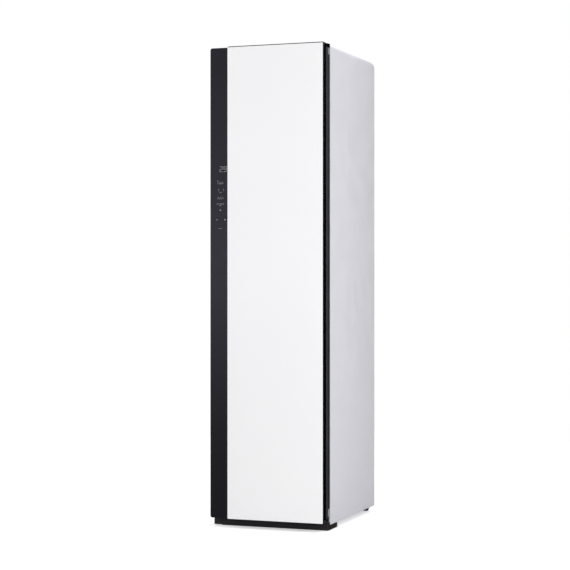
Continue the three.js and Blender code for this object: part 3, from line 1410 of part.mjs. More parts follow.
// A box of mesh windows under a flanged top with a finger bow.
function lintFilter() {
  const half = FILTER_WIDTH / 2 - FIT;
  const front = FIT;
  const back = FILTER_LENGTH - FIT;
  const seat = FIT;
  const top = seat + FILTER_PLATE;
  const wall = FILTER_WALL;
  const outer = rectangle(-half, half, front, back, FILTER_CORNER);
  const inner = rectangle(-half + wall, half - wall, front + wall, back - wall, FILTER_CORNER - wall);
  let body = alongZ(outer, -FILTER_DEPTH, top).subtract(alongZ(inner, -FILTER_DEPTH - OVERRUN, seat));
  const reach = 2 * wall;
  const flange = rectangle(-half - reach, half + reach, front - reach, back + reach, FILTER_CORNER + reach);
  body = body.add(alongZ(flange, seat, top));
  const pitch = (2 * (half - wall)) / FILTER_WINDOWS;
  for (let i = 0; i < FILTER_WINDOWS; i += 1) {
    const middle = -half + wall + pitch * (i + 0.5);
    const open = (pitch * FILTER_WINDOW_SHARE) / 2;
    const through = rectangle(middle - open, middle + open, -FILTER_DEPTH + wall, -wall);
    body = body.subtract(alongY(through, front - OVERRUN, back + OVERRUN));
    const gripSide = FILTER_GRIP + OVERRUN;
    const middleY = (front + back) / 2;
    const intake = rectangle(middle - open, middle + open, front + wall, middleY - gripSide / 2);
    const intakeBack = rectangle(middle - open, middle + open, middleY + gripSide / 2, back - wall);
    body = body.subtract(alongZ(intake, seat - OVERRUN, top + OVERRUN));
    body = body.subtract(alongZ(intakeBack, seat - OVERRUN, top + OVERRUN));
  }
  const gripHalf = FILTER_GRIP_LENGTH / 2;
  const gripTop = top + FILTER_GRIP_HEIGHT;
  const bow = outline([
    [-gripHalf, seat], [
      gripHalf,
      seat,
    ], [gripHalf, gripTop, FILTER_GRIP_HEIGHT / 2], [-gripHalf, gripTop, FILTER_GRIP_HEIGHT / 2],
  ]);
  const thick = FILTER_GRIP;
  bow.holes.push(rectangle(
    -gripHalf + thick,
    gripHalf - thick,
    top,
    gripTop - thick,
    FILTER_GRIP_HEIGHT / 4,
  ));
  const middle = (front + back) / 2;
  return body.add(alongY(bow, middle - thick / 2, middle + thick / 2));
}

function aromaKit() {
  const half = AROMA_WIDTH / 2 - FIT;
  const front = FIT;
  const back = AROMA_LENGTH - FIT;
  const top = FIT + FILTER_PLATE;
  const wall = FILTER_WALL;
  const cup = alongZ(rectangle(-half, half, front, back, AROMA_CORNER), -AROMA_DEPTH, top);
  const room = rectangle(-half + wall, half - wall, front + wall, back - wall, AROMA_CORNER - wall);
  const reach = 2 * wall;
  const flange = rectangle(-half - reach, half + reach, front - reach, back + reach, AROMA_CORNER + reach);
  let body = cup.add(alongZ(flange, FIT, top)).subtract(alongZ(room, -AROMA_DEPTH + wall, FIT));
  for (let i = 0; i < AROMA_SLOTS; i += 1) {
    const y = front + ((back - front) * (i + 1)) / (AROMA_SLOTS + 1);
    const slot = rectangle(-half / 2, half / 2, y - AROMA_SLOT_WIDTH / 2, y + AROMA_SLOT_WIDTH / 2);
    body = body.subtract(alongZ(slot, -FIT, top + OVERRUN));
  }
  // A low tab on the front edge is pinched to lift the kit.
  const tab = rectangle(-half / 3, half / 3, FIT, top + AROMA_DEPTH / 2, AROMA_CORNER / 2);
  return body.add(alongY(tab, back - 2 * wall, back - wall));
}

// An open slatted shelf that rests on the chamber's two ledges.
function shelfRack() {
  const side = CHAMBER_SIDE - SHELF_GAP;
  const low = SHELF_HEIGHT + FIT;
  const high = low + SHELF_THICKNESS;
  const front = FRONT + SHELF_SETBACK;
  const back = front + SHELF_LENGTH;
  const rim = rectangle(-side, side, front, back, SHELF_CORNER);
  rim.holes.push(rectangle(
    -side + SHELF_RIM,
    side - SHELF_RIM,
    front + SHELF_RIM,
    back - SHELF_RIM,
    SHELF_CORNER / 2,
  ));
  const solids = [alongZ(rim, low, high)];
  const pitch = (SHELF_LENGTH - 2 * SHELF_RIM) / (SHELF_SLATS + 1);
  const inside = side - SHELF_RIM / 2;
  for (let i = 1; i <= SHELF_SLATS; i += 1) {
    const y = front + SHELF_RIM + pitch * i;
    solids.push(block(
      -inside,
      inside,
      y - SHELF_SLAT / 2,
      y + SHELF_SLAT / 2,
      high - SHELF_SLAT,
      high - SHELF_SLAT / 4,
    ));
  }
  const spine = SHELF_SLAT / 2;
  solids.push(block(-spine, spine, front + SHELF_RIM / 2, back - SHELF_RIM / 2, low, high - SHELF_SLAT / 2));
  return joined(solids);
}

// Hanger drive

function driveHousing() {
  const low = CHAMBER_TOP + LINER + FIT;
  const high = low + DRIVE_HEIGHT;
  const half = DRIVE_WIDTH / 2;
  const across = DRIVE_DEPTH / 2;
  const shape = rectangle(-half, half, DRIVE_Y - across, DRIVE_Y + across, DRIVE_CORNER);
  const bearing = roundHole(0, DRIVE_Y, CRANK_SHAFT + FIT);
  const motorBore = roundHole(DRIVE_MOTOR_OFFSET, DRIVE_Y, DRIVE_MOTOR_SHAFT + FIT);
  const lugs = rectangle(
    -half - DRIVE_CORNER / 2,
    half + DRIVE_CORNER / 2,
    DRIVE_Y - DRIVE_CORNER,
    DRIVE_Y + DRIVE_CORNER,
  );
  return alongZ(shape, low, high)
    .add(alongZ(lugs, low, low + FILTER_PLATE))
    .subtract(alongZ(bearing, low - OVERRUN, low + CRANK_SHAFT_RISE))
    .subtract(alongZ(motorBore, high - DRIVE_MOTOR_SHAFT_LENGTH - FIT, high + OVERRUN));
}

function hangerMotor() {
  const low = CHAMBER_TOP + LINER + 2 * FIT + DRIVE_HEIGHT;
  const high = low + DRIVE_MOTOR_HEIGHT;
  const edge = 3 * GLASS_EDGE;
  return turned([
    [0, low - DRIVE_MOTOR_SHAFT_LENGTH],
    [DRIVE_MOTOR_SHAFT, low - DRIVE_MOTOR_SHAFT_LENGTH],
    [DRIVE_MOTOR_SHAFT, low],
    [DRIVE_MOTOR_RADIUS, low],
    [DRIVE_MOTOR_RADIUS, high - edge],
    [DRIVE_MOTOR_RADIUS - edge, high],
    [0, high],
  ]).translate([DRIVE_MOTOR_OFFSET, DRIVE_Y, 0]);
}

// The crank about its own shaft: at rest its pin points to the front.
function crankDisc() {
  const top = -CRANK_DISC_DROP;
  const low = top - CRANK_DISC;
  const shaftTop = LINER + FIT + CRANK_SHAFT_RISE - FIT;
  const disc = turned([
    [0, low],
    [CRANK_RADIUS - GLASS_EDGE, low],
    [CRANK_RADIUS, low + GLASS_EDGE],
    [CRANK_RADIUS, top],
    [CRANK_SHAFT * 2, top],
    [CRANK_SHAFT, top + GLASS_EDGE * 3],
    [CRANK_SHAFT, shaftTop],
    [0, shaftTop],
  ]);
  const pinTop = low + CRANK_DISC / 2;
  return disc.add(alongZ(circle(0, -CRANK_THROW, CRANK_PIN), pinTop - CRANK_PIN_LENGTH, pinTop));
}

function hangerRail() {
  const length = CHAMBER_SIDE - FIT;
  return alongX(circle(0, 0, RAIL_RADIUS), -length, length);
}

// The carriage: two sliders on the rails, a bridge with the crank's slot, and a hook bar with windows.
function hangerBar() {
  const half = SLIDER_LENGTH / 2;
  const wall = RAIL_RADIUS + FIT + SLIDER_WALL;
  const solids = [];
  for (const offset of [-RAIL_SPREAD, RAIL_SPREAD]) {
    const shape = rectangle(offset - wall, offset + wall, -wall, wall, SLIDER_WALL);
    solids.push(alongX(shape, -half, half));
  }
  const bridgeTop = -RAIL_RADIUS - FIT;
  const bridgeLow = bridgeTop - BRIDGE;
  const across = RAIL_SPREAD + wall / 2;
  const bridgeShape = rectangle(-BRIDGE_LENGTH, BRIDGE_LENGTH, -across, across, SLIDER_WALL);
  solids.push(alongZ(bridgeShape, bridgeLow, bridgeTop));
  const length = HOOK_BAR_LENGTH / 2;
  const barLow = bridgeLow - HOOK_BAR_HEIGHT;
  const bar = outline([
    [-length, barLow, HOOK_BAR_CORNER],
    [length, barLow, HOOK_BAR_CORNER],
    [length, bridgeLow - BRIDGE, HOOK_BAR_CORNER],
    [BRIDGE_LENGTH + BRIDGE, bridgeLow + BRIDGE / 2, BRIDGE],
    [-BRIDGE_LENGTH - BRIDGE, bridgeLow + BRIDGE / 2, BRIDGE],
    [-length, bridgeLow - BRIDGE, HOOK_BAR_CORNER],
  ]);
  for (let i = 0; i < HOOK_COUNT; i += 1) {
    const x = (i - (HOOK_COUNT - 1) / 2) * HOOK_PITCH;
    const low = barLow + HOOK_WINDOW_RISE;
    const reach = HOOK_WINDOW_WIDTH / 2;
    bar.holes.push(rectangle(x - reach, x + reach, low, low + HOOK_WINDOW_HEIGHT, HOOK_WINDOW_CORNER));
  }
  solids.push(alongY(bar, -HOOK_BAR / 2, HOOK_BAR / 2));
  let body = joined(solids);
  for (const offset of [-RAIL_SPREAD, RAIL_SPREAD]) {
    const bore = roundHole(offset, 0, RAIL_RADIUS + FIT);
    body = body.subtract(alongX(bore, -half - OVERRUN, half + OVERRUN));
    const window = block(-SLIDER_WINDOW, SLIDER_WINDOW, offset - wall, offset + wall, 0, wall + OVERRUN);
    body = body.subtract(window);
  }
  const slotHalf = CRANK_PIN + CRANK_SLOT_PLAY;
  const slotFront = -CRANK_THROW - CRANK_PIN - CRANK_SLOT_END;
  const slotBack = CRANK_PIN + CRANK_SLOT_END;
  const slot = rectangle(-slotHalf, slotHalf, slotFront, slotBack, CRANK_PIN);
  const slotLow = -CRANK_PIN_LENGTH - RAIL_RADIUS;
  return body.subtract(alongZ(slot, slotLow, OVERRUN));
}

// Tanks

function tankHousing() {
  const low = SILL_TOP + FIT;
  const wall = HOUSING_WALL;
  let body = block(-HOUSING_SIDE, HOUSING_SIDE, CASE_FRONT, HOUSING_BACK, low, HOUSING_TOP);
  for (const hand of [-1, 1]) {
    const inner = hand * (HOUSING_MIDDLE / 2);
    const outer = hand * (HOUSING_SIDE - wall);
    const shape = rectangle(
      Math.min(inner, outer),
      Math.max(inner, outer),
      low + wall,
      HOUSING_TOP - wall,
      TANK_PLAY,
    );
    body = body.subtract(alongY(shape, CASE_FRONT - OVERRUN, HOUSING_BACK - wall));
    for (const place of [-1, 1]) {
      // Two runners carry each tank.
      const x = hand * TANK_CENTRE + place * (TANK_WIDTH / 2 - TANK_CORNER * 2);
      const top = low + wall + HOUSING_RIB;
      body = body.add(block(x - wall, x + wall, TANK_FRONT, HOUSING_BACK - wall / 2, low + wall / 2, top));
    }
    const socket = roundHole(hand * TANK_CENTRE, TANK_FLOOR + TANK_VALVE_RISE, TANK_VALVE + FIT * 2);
    body = body.subtract(alongY(socket, HOUSING_BACK - wall - OVERRUN, HOUSING_BACK + OVERRUN));
  }
  return body;
}

// One tank about the middle of its floor's front edge.
function tankBody() {
  const half = TANK_WIDTH / 2;
  const top = TANK_HEIGHT;
  const wall = TANK_WALL;
  const outer = alongZ(rectangle(-half, half, 0, TANK_DEPTH, TANK_CORNER), 0, top);
  const innerShape = rectangle(-half + wall, half - wall, wall, TANK_DEPTH - wall, TANK_CORNER - wall);
  const inner = alongZ(innerShape, wall, top + OVERRUN);
  const grip = (margin) => {
    const reach = TANK_GRIP_WIDTH / 2 + margin;
    const high = top - TANK_GRIP_DROP + margin;
    const low = top - TANK_GRIP_DROP - TANK_GRIP_HEIGHT - margin;
    const shape = rectangle(-reach, reach, low, high, TANK_CORNER);
    return alongY(shape, -OVERRUN, TANK_GRIP_DEPTH + margin);
  };
  const valve = alongY(
    circle(0, TANK_VALVE_RISE, TANK_VALVE),
    TANK_DEPTH - wall / 2,
    TANK_DEPTH + TANK_VALVE_LENGTH,
  );
  return outer.subtract(grip(0)).subtract(inner.subtract(grip(wall))).add(valve);
}

function tankLid(capSide) {
  const half = TANK_WIDTH / 2;
  const low = TANK_HEIGHT + FIT;
  const high = low + TANK_LID;
  const wall = TANK_WALL + FIT;
  const plate = alongZ(rectangle(-half, half, 0, TANK_DEPTH, TANK_CORNER), low, high);
  const plugShape = rectangle(-half + wall, half - wall, wall, TANK_DEPTH - wall, TANK_CORNER - wall);
  const bore = TANK_WALL;
  const hollow = rectangle(
    -half + wall + bore,
    half - wall - bore,
    wall + bore,
    TANK_DEPTH - wall - bore,
    TANK_CORNER / 2,
  );
  const plug = alongZ(withHole(plugShape, hollow), low - TANK_LID_PLUG, high - TANK_LID / 2);
  const capX = capSide * (half - 2 * TANK_LID_CAP);
  const cap = alongZ(
    circle(capX, TANK_DEPTH / 2, TANK_LID_CAP),
    high - TANK_LID / 2,
    high + TANK_LID_CAP_RISE,
  );
  const bar = TANK_LID_CAP_RISE;
  const pinch = block(
    capX - TANK_LID_CAP,
    capX + TANK_LID_CAP,
    TANK_DEPTH / 2 - bar / 2,
    TANK_DEPTH / 2 + bar / 2,
    high,
    high + 2 * bar,
  );
  return plate.add(plug).add(cap).add(pinch);
}

// Heat pump

function ductTray() {
  const front = TRAY_FRONT;
  const back = TRAY_BACK;
  const top = CHAMBER_FLOOR - LINER - FIT;
  const wall = TRAY_WALL;
  let body = block(TRAY_LEFT, TRAY_RIGHT, front, back, TRAY_FLOOR, top);
  body = body.subtract(block(
    TRAY_LEFT + wall,
    TRAY_RIGHT - wall,
    front - OVERRUN,
    back - wall,
    TRAY_FLOOR + wall,
    top + OVERRUN,
  ));
  body = body.add(block(TRAY_LEFT, TRAY_RIGHT, front, front + wall, TRAY_FLOOR, TRAY_FLOOR + 2 * TRAY_LEG));
  const intake = roundHole(FAN_SIDE, FAN_HEIGHT, FAN_INLET);
  body = body.subtract(alongY(intake, back - wall - OVERRUN, back + OVERRUN));
  for (const x of [TRAY_LEFT, TRAY_RIGHT - TRAY_LEG]) {
    for (const y of [front, back - TRAY_LEG]) {
      body = body.add(block(x, x + TRAY_LEG, y, y + TRAY_LEG, PAN_TOP + FIT, TRAY_FLOOR + wall / 2));
    }
  }
  return body;
}

// A finned coil: a solid core with a comb of fins on both faces, end bends and two pipe stubs.
function finnedCoil() {
  const half = COIL_WIDTH / 2;
  const depth = COIL_DEPTH / 2;
  const core = COIL_DEPTH * COIL_CORE_SHARE / 2;
  const pitch = (COIL_WIDTH - COIL_FIN) / (COIL_FINS - 1);
  const forward = [];
  const behind = [];
  for (let i = 0; i < COIL_FINS; i += 1) {
    const left = -half + i * pitch;
    const right = left + COIL_FIN;
    forward.push([left, -core], [left, -depth], [right, -depth], [right, -core]);
    behind.push([left, core], [left, depth], [right, depth], [right, core]);
  }
  const comb = outline([...forward, ...behind.reverse()]);
  const solids = [alongZ(comb, 0, COIL_HEIGHT)];
  const radius = COIL_TUBE_PITCH / 2;
  for (let i = 0; i < COIL_BENDS; i += 1) {
    const low = COIL_HEIGHT / 2 + (i - COIL_BENDS / 2) * COIL_BEND_PITCH + radius / 2;
    const points = [];
    for (let k = 0; k <= COIL_BEND_STEPS; k += 1) {
      const angle = -Math.PI / 2 + (Math.PI * k) / COIL_BEND_STEPS;
      points.push([-half + COIL_FIN - radius * Math.cos(angle), 0, low + radius + radius * Math.sin(angle)]);
    }
    solids.push(bentBar(points, COIL_TUBE, COIL_BEND_STEPS));
  }
  const stub = half + COIL_TUBE_PITCH / 4;
  for (const height of [COIL_TUBE_PITCH / 2, COIL_HEIGHT - COIL_TUBE_PITCH / 2]) {
    solids.push(alongX(circle(0, height, COIL_TUBE, TUBE_SIDES), half - COIL_FIN, stub));
  }
  return joined(solids);
}

// The spiral of the fan housing: half a turn below the wheel, widening evenly towards the outlet's side.
function fanScroll() {
  const top = CHAMBER_FLOOR - LINER - FIT;
  const wall = SCROLL_WALL;
  const back = FAN_FRONT + FAN_BOX_DEPTH;
  const shape = (grow, high) => {
    const corners = [];
    for (let i = 0; i <= SCROLL_STEPS; i += 1) {
      const share = i / SCROLL_STEPS;
      const angle = Math.PI + share * Math.PI;
      const radius = SCROLL_START + SCROLL_GROWTH * share + grow;
      corners.push([FAN_SIDE + radius * Math.cos(angle), FAN_HEIGHT + radius * Math.sin(angle)]);
    }
    corners.push([FAN_SIDE + SCROLL_START + SCROLL_GROWTH + grow, high]);
    corners.push([FAN_SIDE - SCROLL_START - grow, high]);
    return outline(corners);
  };
  const outer = alongY(shape(wall, top), FAN_FRONT, back);
  const inner = alongY(shape(0, top + OVERRUN), FAN_FRONT + wall, back - wall);
  const inlet = alongY(
    roundHole(FAN_SIDE, FAN_HEIGHT, FAN_INLET),
    FAN_FRONT - OVERRUN,
    FAN_FRONT + wall + OVERRUN,
  );
  const shaft = alongY(
    roundHole(FAN_SIDE, FAN_HEIGHT, FAN_MOTOR_BOSS + FIT),
    back - wall - OVERRUN,
    back + OVERRUN,
  );
  let body = outer.subtract(inner).subtract(inlet).subtract(shaft);
  // Two feet stand on the base pan.
  const low = PAN_TOP + FIT;
  const under = FAN_HEIGHT - SCROLL_START / 2;
  for (const hand of [-1, 1]) {
    const x = FAN_SIDE + hand * SCROLL_FOOT_SPREAD;
    const foot = block(x - wall, x + wall, FAN_FRONT, back, low, under);
    const pad = block(x - SCROLL_FOOT / 2, x + SCROLL_FOOT / 2, FAN_FRONT, back, low, low + wall);
    body = body.add(foot.add(pad).subtract(alongY(
      shape(wall / 2, top),
      FAN_FRONT - OVERRUN,
      back + OVERRUN,
    )));
  }
  return body;
}

// A forward-curved blower wheel about the Y axis.
function fanImpeller() {
  const half = FAN_WHEEL_WIDTH / 2;
  const plate = alongY(circle(0, 0, FAN_WHEEL), half - FAN_PLATE, half);
  const rim = alongY(
    withHole(circle(0, 0, FAN_WHEEL), circle(0, 0, FAN_WHEEL_INNER)),
    -half,
    -half + FAN_PLATE,
  );
  const hub = alongY(circle(0, 0, FAN_HUB), 0, half);
  const solids = [plate, rim, hub];
  for (let i = 0; i < FAN_BLADES; i += 1) {
    const turn = (2 * Math.PI * i) / FAN_BLADES;
    const corners = [];
    for (const edge of [0, 1]) {
      for (let k = 0; k <= FAN_BLADE_STEPS; k += 1) {
        const along = edge ? 1 - k / FAN_BLADE_STEPS : k / FAN_BLADE_STEPS;
        const radius = FAN_WHEEL_INNER + GLASS_EDGE + (FAN_WHEEL - FAN_WHEEL_INNER - 2 * GLASS_EDGE) * along;
        const angle = turn + FAN_BLADE_SWEEP * along * along + (edge * FAN_BLADE) / radius;
        corners.push([radius * Math.cos(angle), radius * Math.sin(angle)]);
      }
    }
    solids.push(alongY(outline(corners), -half + FAN_PLATE / 2, half - FAN_PLATE / 2));
  }
  const bore = alongY(roundHole(0, 0, FAN_SHAFT + FIT), -half, half + OVERRUN);
  return joined(solids).subtract(bore);
}

function fanMotor() {
  const seat = FAN_FRONT + FAN_BOX_DEPTH + FIT;
  const tip = seat - SCROLL_WALL - FAN_GAP - FAN_WHEEL_WIDTH / 2 - FAN_GAP;
  const end = seat + FAN_MOTOR_LENGTH;
  const edge = 3 * GLASS_EDGE;
  const can = turned([
    [0, -end],
    [FAN_MOTOR_RADIUS - edge, -end],
    [FAN_MOTOR_RADIUS, -end + edge],
    [FAN_MOTOR_RADIUS, -seat],
    [FAN_MOTOR_BOSS, -seat],
    [FAN_MOTOR_BOSS, -seat + FAN_MOTOR_BOSS_LENGTH],
    [FAN_SHAFT, -seat + FAN_MOTOR_BOSS_LENGTH],
    [FAN_SHAFT, -tip],
    [0, -tip],
  ]);
  const lug = rectangle(
    -FAN_MOTOR_RADIUS - FAN_MOTOR_BOSS,
    FAN_MOTOR_RADIUS + FAN_MOTOR_BOSS,
    -FAN_HUB / 2,
    FAN_HUB / 2,
    edge,
  );
  return can.rotate([
    90,
    0,
    0,
  ]).add(alongY(lug, seat, seat + SCROLL_WALL)).translate([FAN_SIDE, 0, FAN_HEIGHT]);
}

function compressorPlace() {
  return [COMPRESSOR_X, COMPRESSOR_Y, PAN_TOP + FIT];
}

// A welded shell on three feet, with its accumulator beside it and a pipe from its top.
function compressor() {
  const dome = COMPRESSOR_DOME;
  const radius = COMPRESSOR_RADIUS;
  const low = COMPRESSOR_FOOT;
  const high = low + COMPRESSOR_HEIGHT;
  const seam = high - COMPRESSOR_SEAM_DROP;
  const shell = turned([
    [0, low],
    [radius * COMPRESSOR_BASE_SHARE, low],
    [radius, low + dome],
    [radius, seam],
    [radius + COMPRESSOR_SEAM, seam],
    [radius + COMPRESSOR_SEAM, seam + COMPRESSOR_SEAM],
    [radius, seam + COMPRESSOR_SEAM],
    [radius * COMPRESSOR_SHOULDER_SHARE, high - dome],
    [radius * COMPRESSOR_CROWN_SHARE, high],
    [0, high],
  ]);
  const solids = [shell];
  for (let i = 0; i < COMPRESSOR_FEET; i += 1) {
    const angle = Math.PI / 2 + (2 * Math.PI * i) / COMPRESSOR_FEET;
    const reach = COMPRESSOR_FOOT_REACH;
    const x = reach * Math.cos(angle);
    const y = reach * Math.sin(angle);
    solids.push(alongZ(circle(x, y, FOOT_BOSS), 0, low + COMPRESSOR_SEAM));
    const arm = outline([[-FOOT_BOSS, 0], [FOOT_BOSS, 0], [FOOT_BOSS / 2, reach], [-FOOT_BOSS / 2, reach]]);
    solids.push(alongZ(
      arm,
      low - COMPRESSOR_SEAM,
      low + COMPRESSOR_SEAM,
    ).rotate([0, 0, (angle * 180) / Math.PI - 90]));
  }
  const away = radius + ACCUMULATOR_GAP + ACCUMULATOR_RADIUS;
  const accumulatorLow = low + dome * 2;
  const accumulatorHigh = accumulatorLow + ACCUMULATOR_HEIGHT;
  const end = ACCUMULATOR_RADIUS / 2;
  const accumulator = turned([
    [0, accumulatorLow],
    [end, accumulatorLow],
    [ACCUMULATOR_RADIUS, accumulatorLow + end],
    [ACCUMULATOR_RADIUS, accumulatorHigh - end],
    [end, accumulatorHigh],
    [0, accumulatorHigh],
  ]);
  solids.push(accumulator.translate([-away, 0, 0]));
  const strap = accumulatorLow + ACCUMULATOR_HEIGHT / 2;
  solids.push(block(-away, 0, -end / 2, end / 2, strap, strap + end));
  return joined(solids);
}

function steamOutletHeight() {
  return STEAMER_FOOT + STEAMER_HEIGHT * STEAMER_OUTLET_SHARE;
}

function steamGenerator() {
  const half = STEAMER_WIDTH / 2;
  const depth = STEAMER_DEPTH / 2;
  const low = STEAMER_FOOT;
  const high = low + STEAMER_HEIGHT;
  const seam = low + STEAMER_HEIGHT / 2;
  const reach = STEAMER_SEAM_REACH;
  const solids = [
    alongZ(rectangle(-half, half, -depth, depth, STEAMER_CORNER), low, high),
    alongZ(
      rectangle(-half - reach, half + reach, -depth - reach, depth + reach, STEAMER_CORNER + reach),
      seam,
      seam + STEAMER_SEAM,
    ),
  ];
  const pitch = (STEAMER_WIDTH - 2 * STEAMER_CORNER) / (STEAMER_RIBS - 1);
  for (let i = 0; i < STEAMER_RIBS; i += 1) {
    const x = -half + STEAMER_CORNER + i * pitch;
    const rib = STEAMER_RIB / 2;
    solids.push(block(
      x - rib,
      x + rib,
      -depth + STEAMER_CORNER,
      depth - STEAMER_CORNER,
      high - rib,
      high + STEAMER_RIB_RISE,
    ));
  }
  for (const x of [-half + STEAMER_CORNER, half - STEAMER_CORNER]) {
    for (const y of [-depth + STEAMER_CORNER, depth - STEAMER_CORNER]) {
      solids.push(alongZ(circle(x, y, FOOT_STUD, TUBE_SIDES), 0, low + STEAMER_SEAM));
    }
  }
  const outlet = circle(0, steamOutletHeight(), STEAMER_SPIGOT);
  solids.push(alongX(outlet, -half - STEAMER_SPIGOT_LENGTH, -half + STEAMER_SEAM));
  return joined(solids);
}

// The steam hose runs from the generator's side, up past the tray, to the nozzle in the chamber's floor.
function steamHose() {
  const startX = STEAMER_SIDE - STEAMER_WIDTH / 2 - STEAMER_SPIGOT_LENGTH - FIT;
  const startY = STEAMER_Y;
  const startZ = PAN_TOP + FIT + steamOutletHeight();
  const endY = NOZZLE_Y;
  const endZ = CHAMBER_FLOOR - LINER - NOZZLE_SPIGOT_DROP - FIT;
  const lead = 2 * HOSE_RADIUS;
  const rise = endZ - startZ;
  const path = new THREE.CurvePath();
  const first = new THREE.Vector3(startX, startY, startZ);
  const bend = new THREE.Vector3(-NOZZLE_SIDE - lead, startY, startZ);
  const up = new THREE.Vector3(-NOZZLE_SIDE - lead, (startY + endY) / 2, startZ + rise * HOSE_BEND_SHARE);
  const near = new THREE.Vector3(-NOZZLE_SIDE, endY, startZ + rise * HOSE_RISE_SHARE);
  const last = new THREE.Vector3(-NOZZLE_SIDE, endY, endZ);
  path.add(new THREE.CubicBezierCurve3(first, bend, up, near));
  path.add(new THREE.LineCurve3(near, last));
  const section = circle(0, 0, HOSE_RADIUS, TUBE_SIDES);
  const geometry = new THREE.ExtrudeGeometry(
    section,
    { steps: HOSE_STEPS, bevelEnabled: false, extrudePath: path },
  );
  return solid(geometry);
}

// A small motor pump lying on its foot plate, about the middle of that plate.
function pump() {
  const axis = PUMP_BASE + PUMP_HEAD;
  const half = PUMP_LENGTH / 2;
  const motor = alongX(circle(0, axis, PUMP_RADIUS), -half, half);
  const head = alongX(circle(0, axis, PUMP_HEAD), half - OVERRUN, half + PUMP_HEAD_LENGTH);
  const base = alongZ(
    rectangle(-half, half + PUMP_HEAD_LENGTH, -PUMP_RADIUS, PUMP_RADIUS, PUMP_BASE),
    0,
    PUMP_BASE,
  );
  const web = block(-half / 2, half, -PUMP_BASE, PUMP_BASE, PUMP_BASE / 2, axis);
  const middle = half + PUMP_HEAD_LENGTH / 2;
  const outlet = alongZ(
    circle(middle, 0, PUMP_SPIGOT, TUBE_SIDES),
    axis,
    axis + PUMP_HEAD + PUMP_SPIGOT_LENGTH,
  );
  const inlet = alongX(
    circle(0, axis, PUMP_SPIGOT, TUBE_SIDES),
    half,
    half + PUMP_HEAD_LENGTH + PUMP_SPIGOT_LENGTH,
  );
  return motor.add(head).add(base).add(web).add(outlet).add(inlet);
}

// The electronics box hangs on the inside of the case's right wall.
function controlBox() {
  const right = SIDE - SHEET - FIT;
  const left = right - CONTROL_WIDTH;
  const front = HOUSING_BACK + CONTROL_GAP;
  const back = front + CONTROL_DEPTH;
  const high = CONTROL_LOW + CONTROL_HEIGHT;
  const body = alongX(rectangle(front, back, CONTROL_LOW, high, CONTROL_CORNER), left + CONTROL_LID, right);
  const lidShape = rectangle(
    front - CONTROL_LID,
    back + CONTROL_LID,
    CONTROL_LOW - CONTROL_LID,
    high + CONTROL_LID,
    CONTROL_CORNER,
  );
  let box = body.add(alongX(lidShape, left, left + 2 * CONTROL_LID));
  const pitch = CONTROL_HEIGHT / (CONTROL_SLOTS + 1);
  for (let i = 1; i <= CONTROL_SLOTS; i += 1) {
    const z = CONTROL_LOW + pitch * i;
    const slot = CONTROL_SLOT / 2;
    box = box.subtract(block(
      left - OVERRUN,
      left + CONTROL_LID / 2,
      front + pitch,
      back - pitch,
      z - slot,
      z + slot,
    ));
  }
  return box;
}

function powerInlet() {
  const back = BACK - SHEET - FIT;
  const half = INLET_FLANGE / 2;
  const flangeShape = rectangle(
    INLET_SIDE - half,
    INLET_SIDE + half,
    INLET_HEIGHT - half,
    INLET_HEIGHT + half,
    CONTROL_CORNER,
  );
  const from = back - INLET_LENGTH;
  const flangeFront = back + FIT;
  const barrel = alongY(
    circle(INLET_SIDE, INLET_HEIGHT, INLET_BARREL),
    from,
    flangeFront + INLET_FLANGE_THICKNESS / 2,
  );
  const flange = alongY(flangeShape, flangeFront, flangeFront + INLET_FLANGE_THICKNESS);
  const bore = alongY(roundHole(INLET_SIDE, INLET_HEIGHT, INLET_BORE), from - OVERRUN, BACK + OVERRUN);
  return barrel.add(flange).subtract(bore);
}

// Trouser press

function pressLugHeights() {
  const span = PRESS_HEIGHT - 2 * PRESS_KNUCKLE_LENGTH;
  return Array.from(
    { length: PRESS_KNUCKLES },
    (_, i) => PRESS_LOW + PRESS_KNUCKLE_LENGTH + (span * i) / (PRESS_KNUCKLES - 1),
  );
}

function pressPad() {
  const half = PRESS_WIDTH / 2;
  const front = DOOR_BACK + FIT;
  const high = PRESS_LOW + PRESS_HEIGHT;
  const right = half + PRESS_LATCH_MARGIN;
  let body = alongY(rectangle(-half, right, PRESS_LOW, high, PRESS_CORNER), front, front + PRESS_PAD);
  // The hinge lugs stand at the left edge, each above its knuckle.
  for (const z of pressLugHeights()) {
    const low = z + PRESS_KNUCKLE_LENGTH / 4;
    const high = low + PRESS_KNUCKLE_LENGTH / 4;
    const reach = PRESS_KNUCKLE;
    body = body
      .add(alongZ(circle(PRESS_PIN_X, PRESS_PIN_Y, reach), low, high))
      .add(block(PRESS_PIN_X - reach, PRESS_PIN_X + reach, front, PRESS_PIN_Y, low, high))
      .add(block(PRESS_PIN_X, OVERRUN - half, front, PRESS_FACE, low, high));
  }
  const pin = roundHole(PRESS_PIN_X, PRESS_PIN_Y, PRESS_PIN + FIT);
  body = body.subtract(alongZ(pin, PRESS_LOW - OVERRUN, high + OVERRUN));
  const latchX = half + PRESS_LATCH_MARGIN / 2;
  const latch = roundHole(latchX, PRESS_LOW + PRESS_HEIGHT / 2, LATCH_PIN + FIT);
  return body.subtract(alongY(latch, front + PRESS_PLATE, PRESS_FACE + OVERRUN));
}

function pressHingePin() {
  const heights = pressLugHeights();
  const low = heights[0] - PRESS_KNUCKLE_LENGTH / 2;
  const high = heights.at(-1) + PRESS_KNUCKLE_LENGTH;
  return alongZ(circle(PRESS_PIN_X, PRESS_PIN_Y, PRESS_PIN), low, high);
}

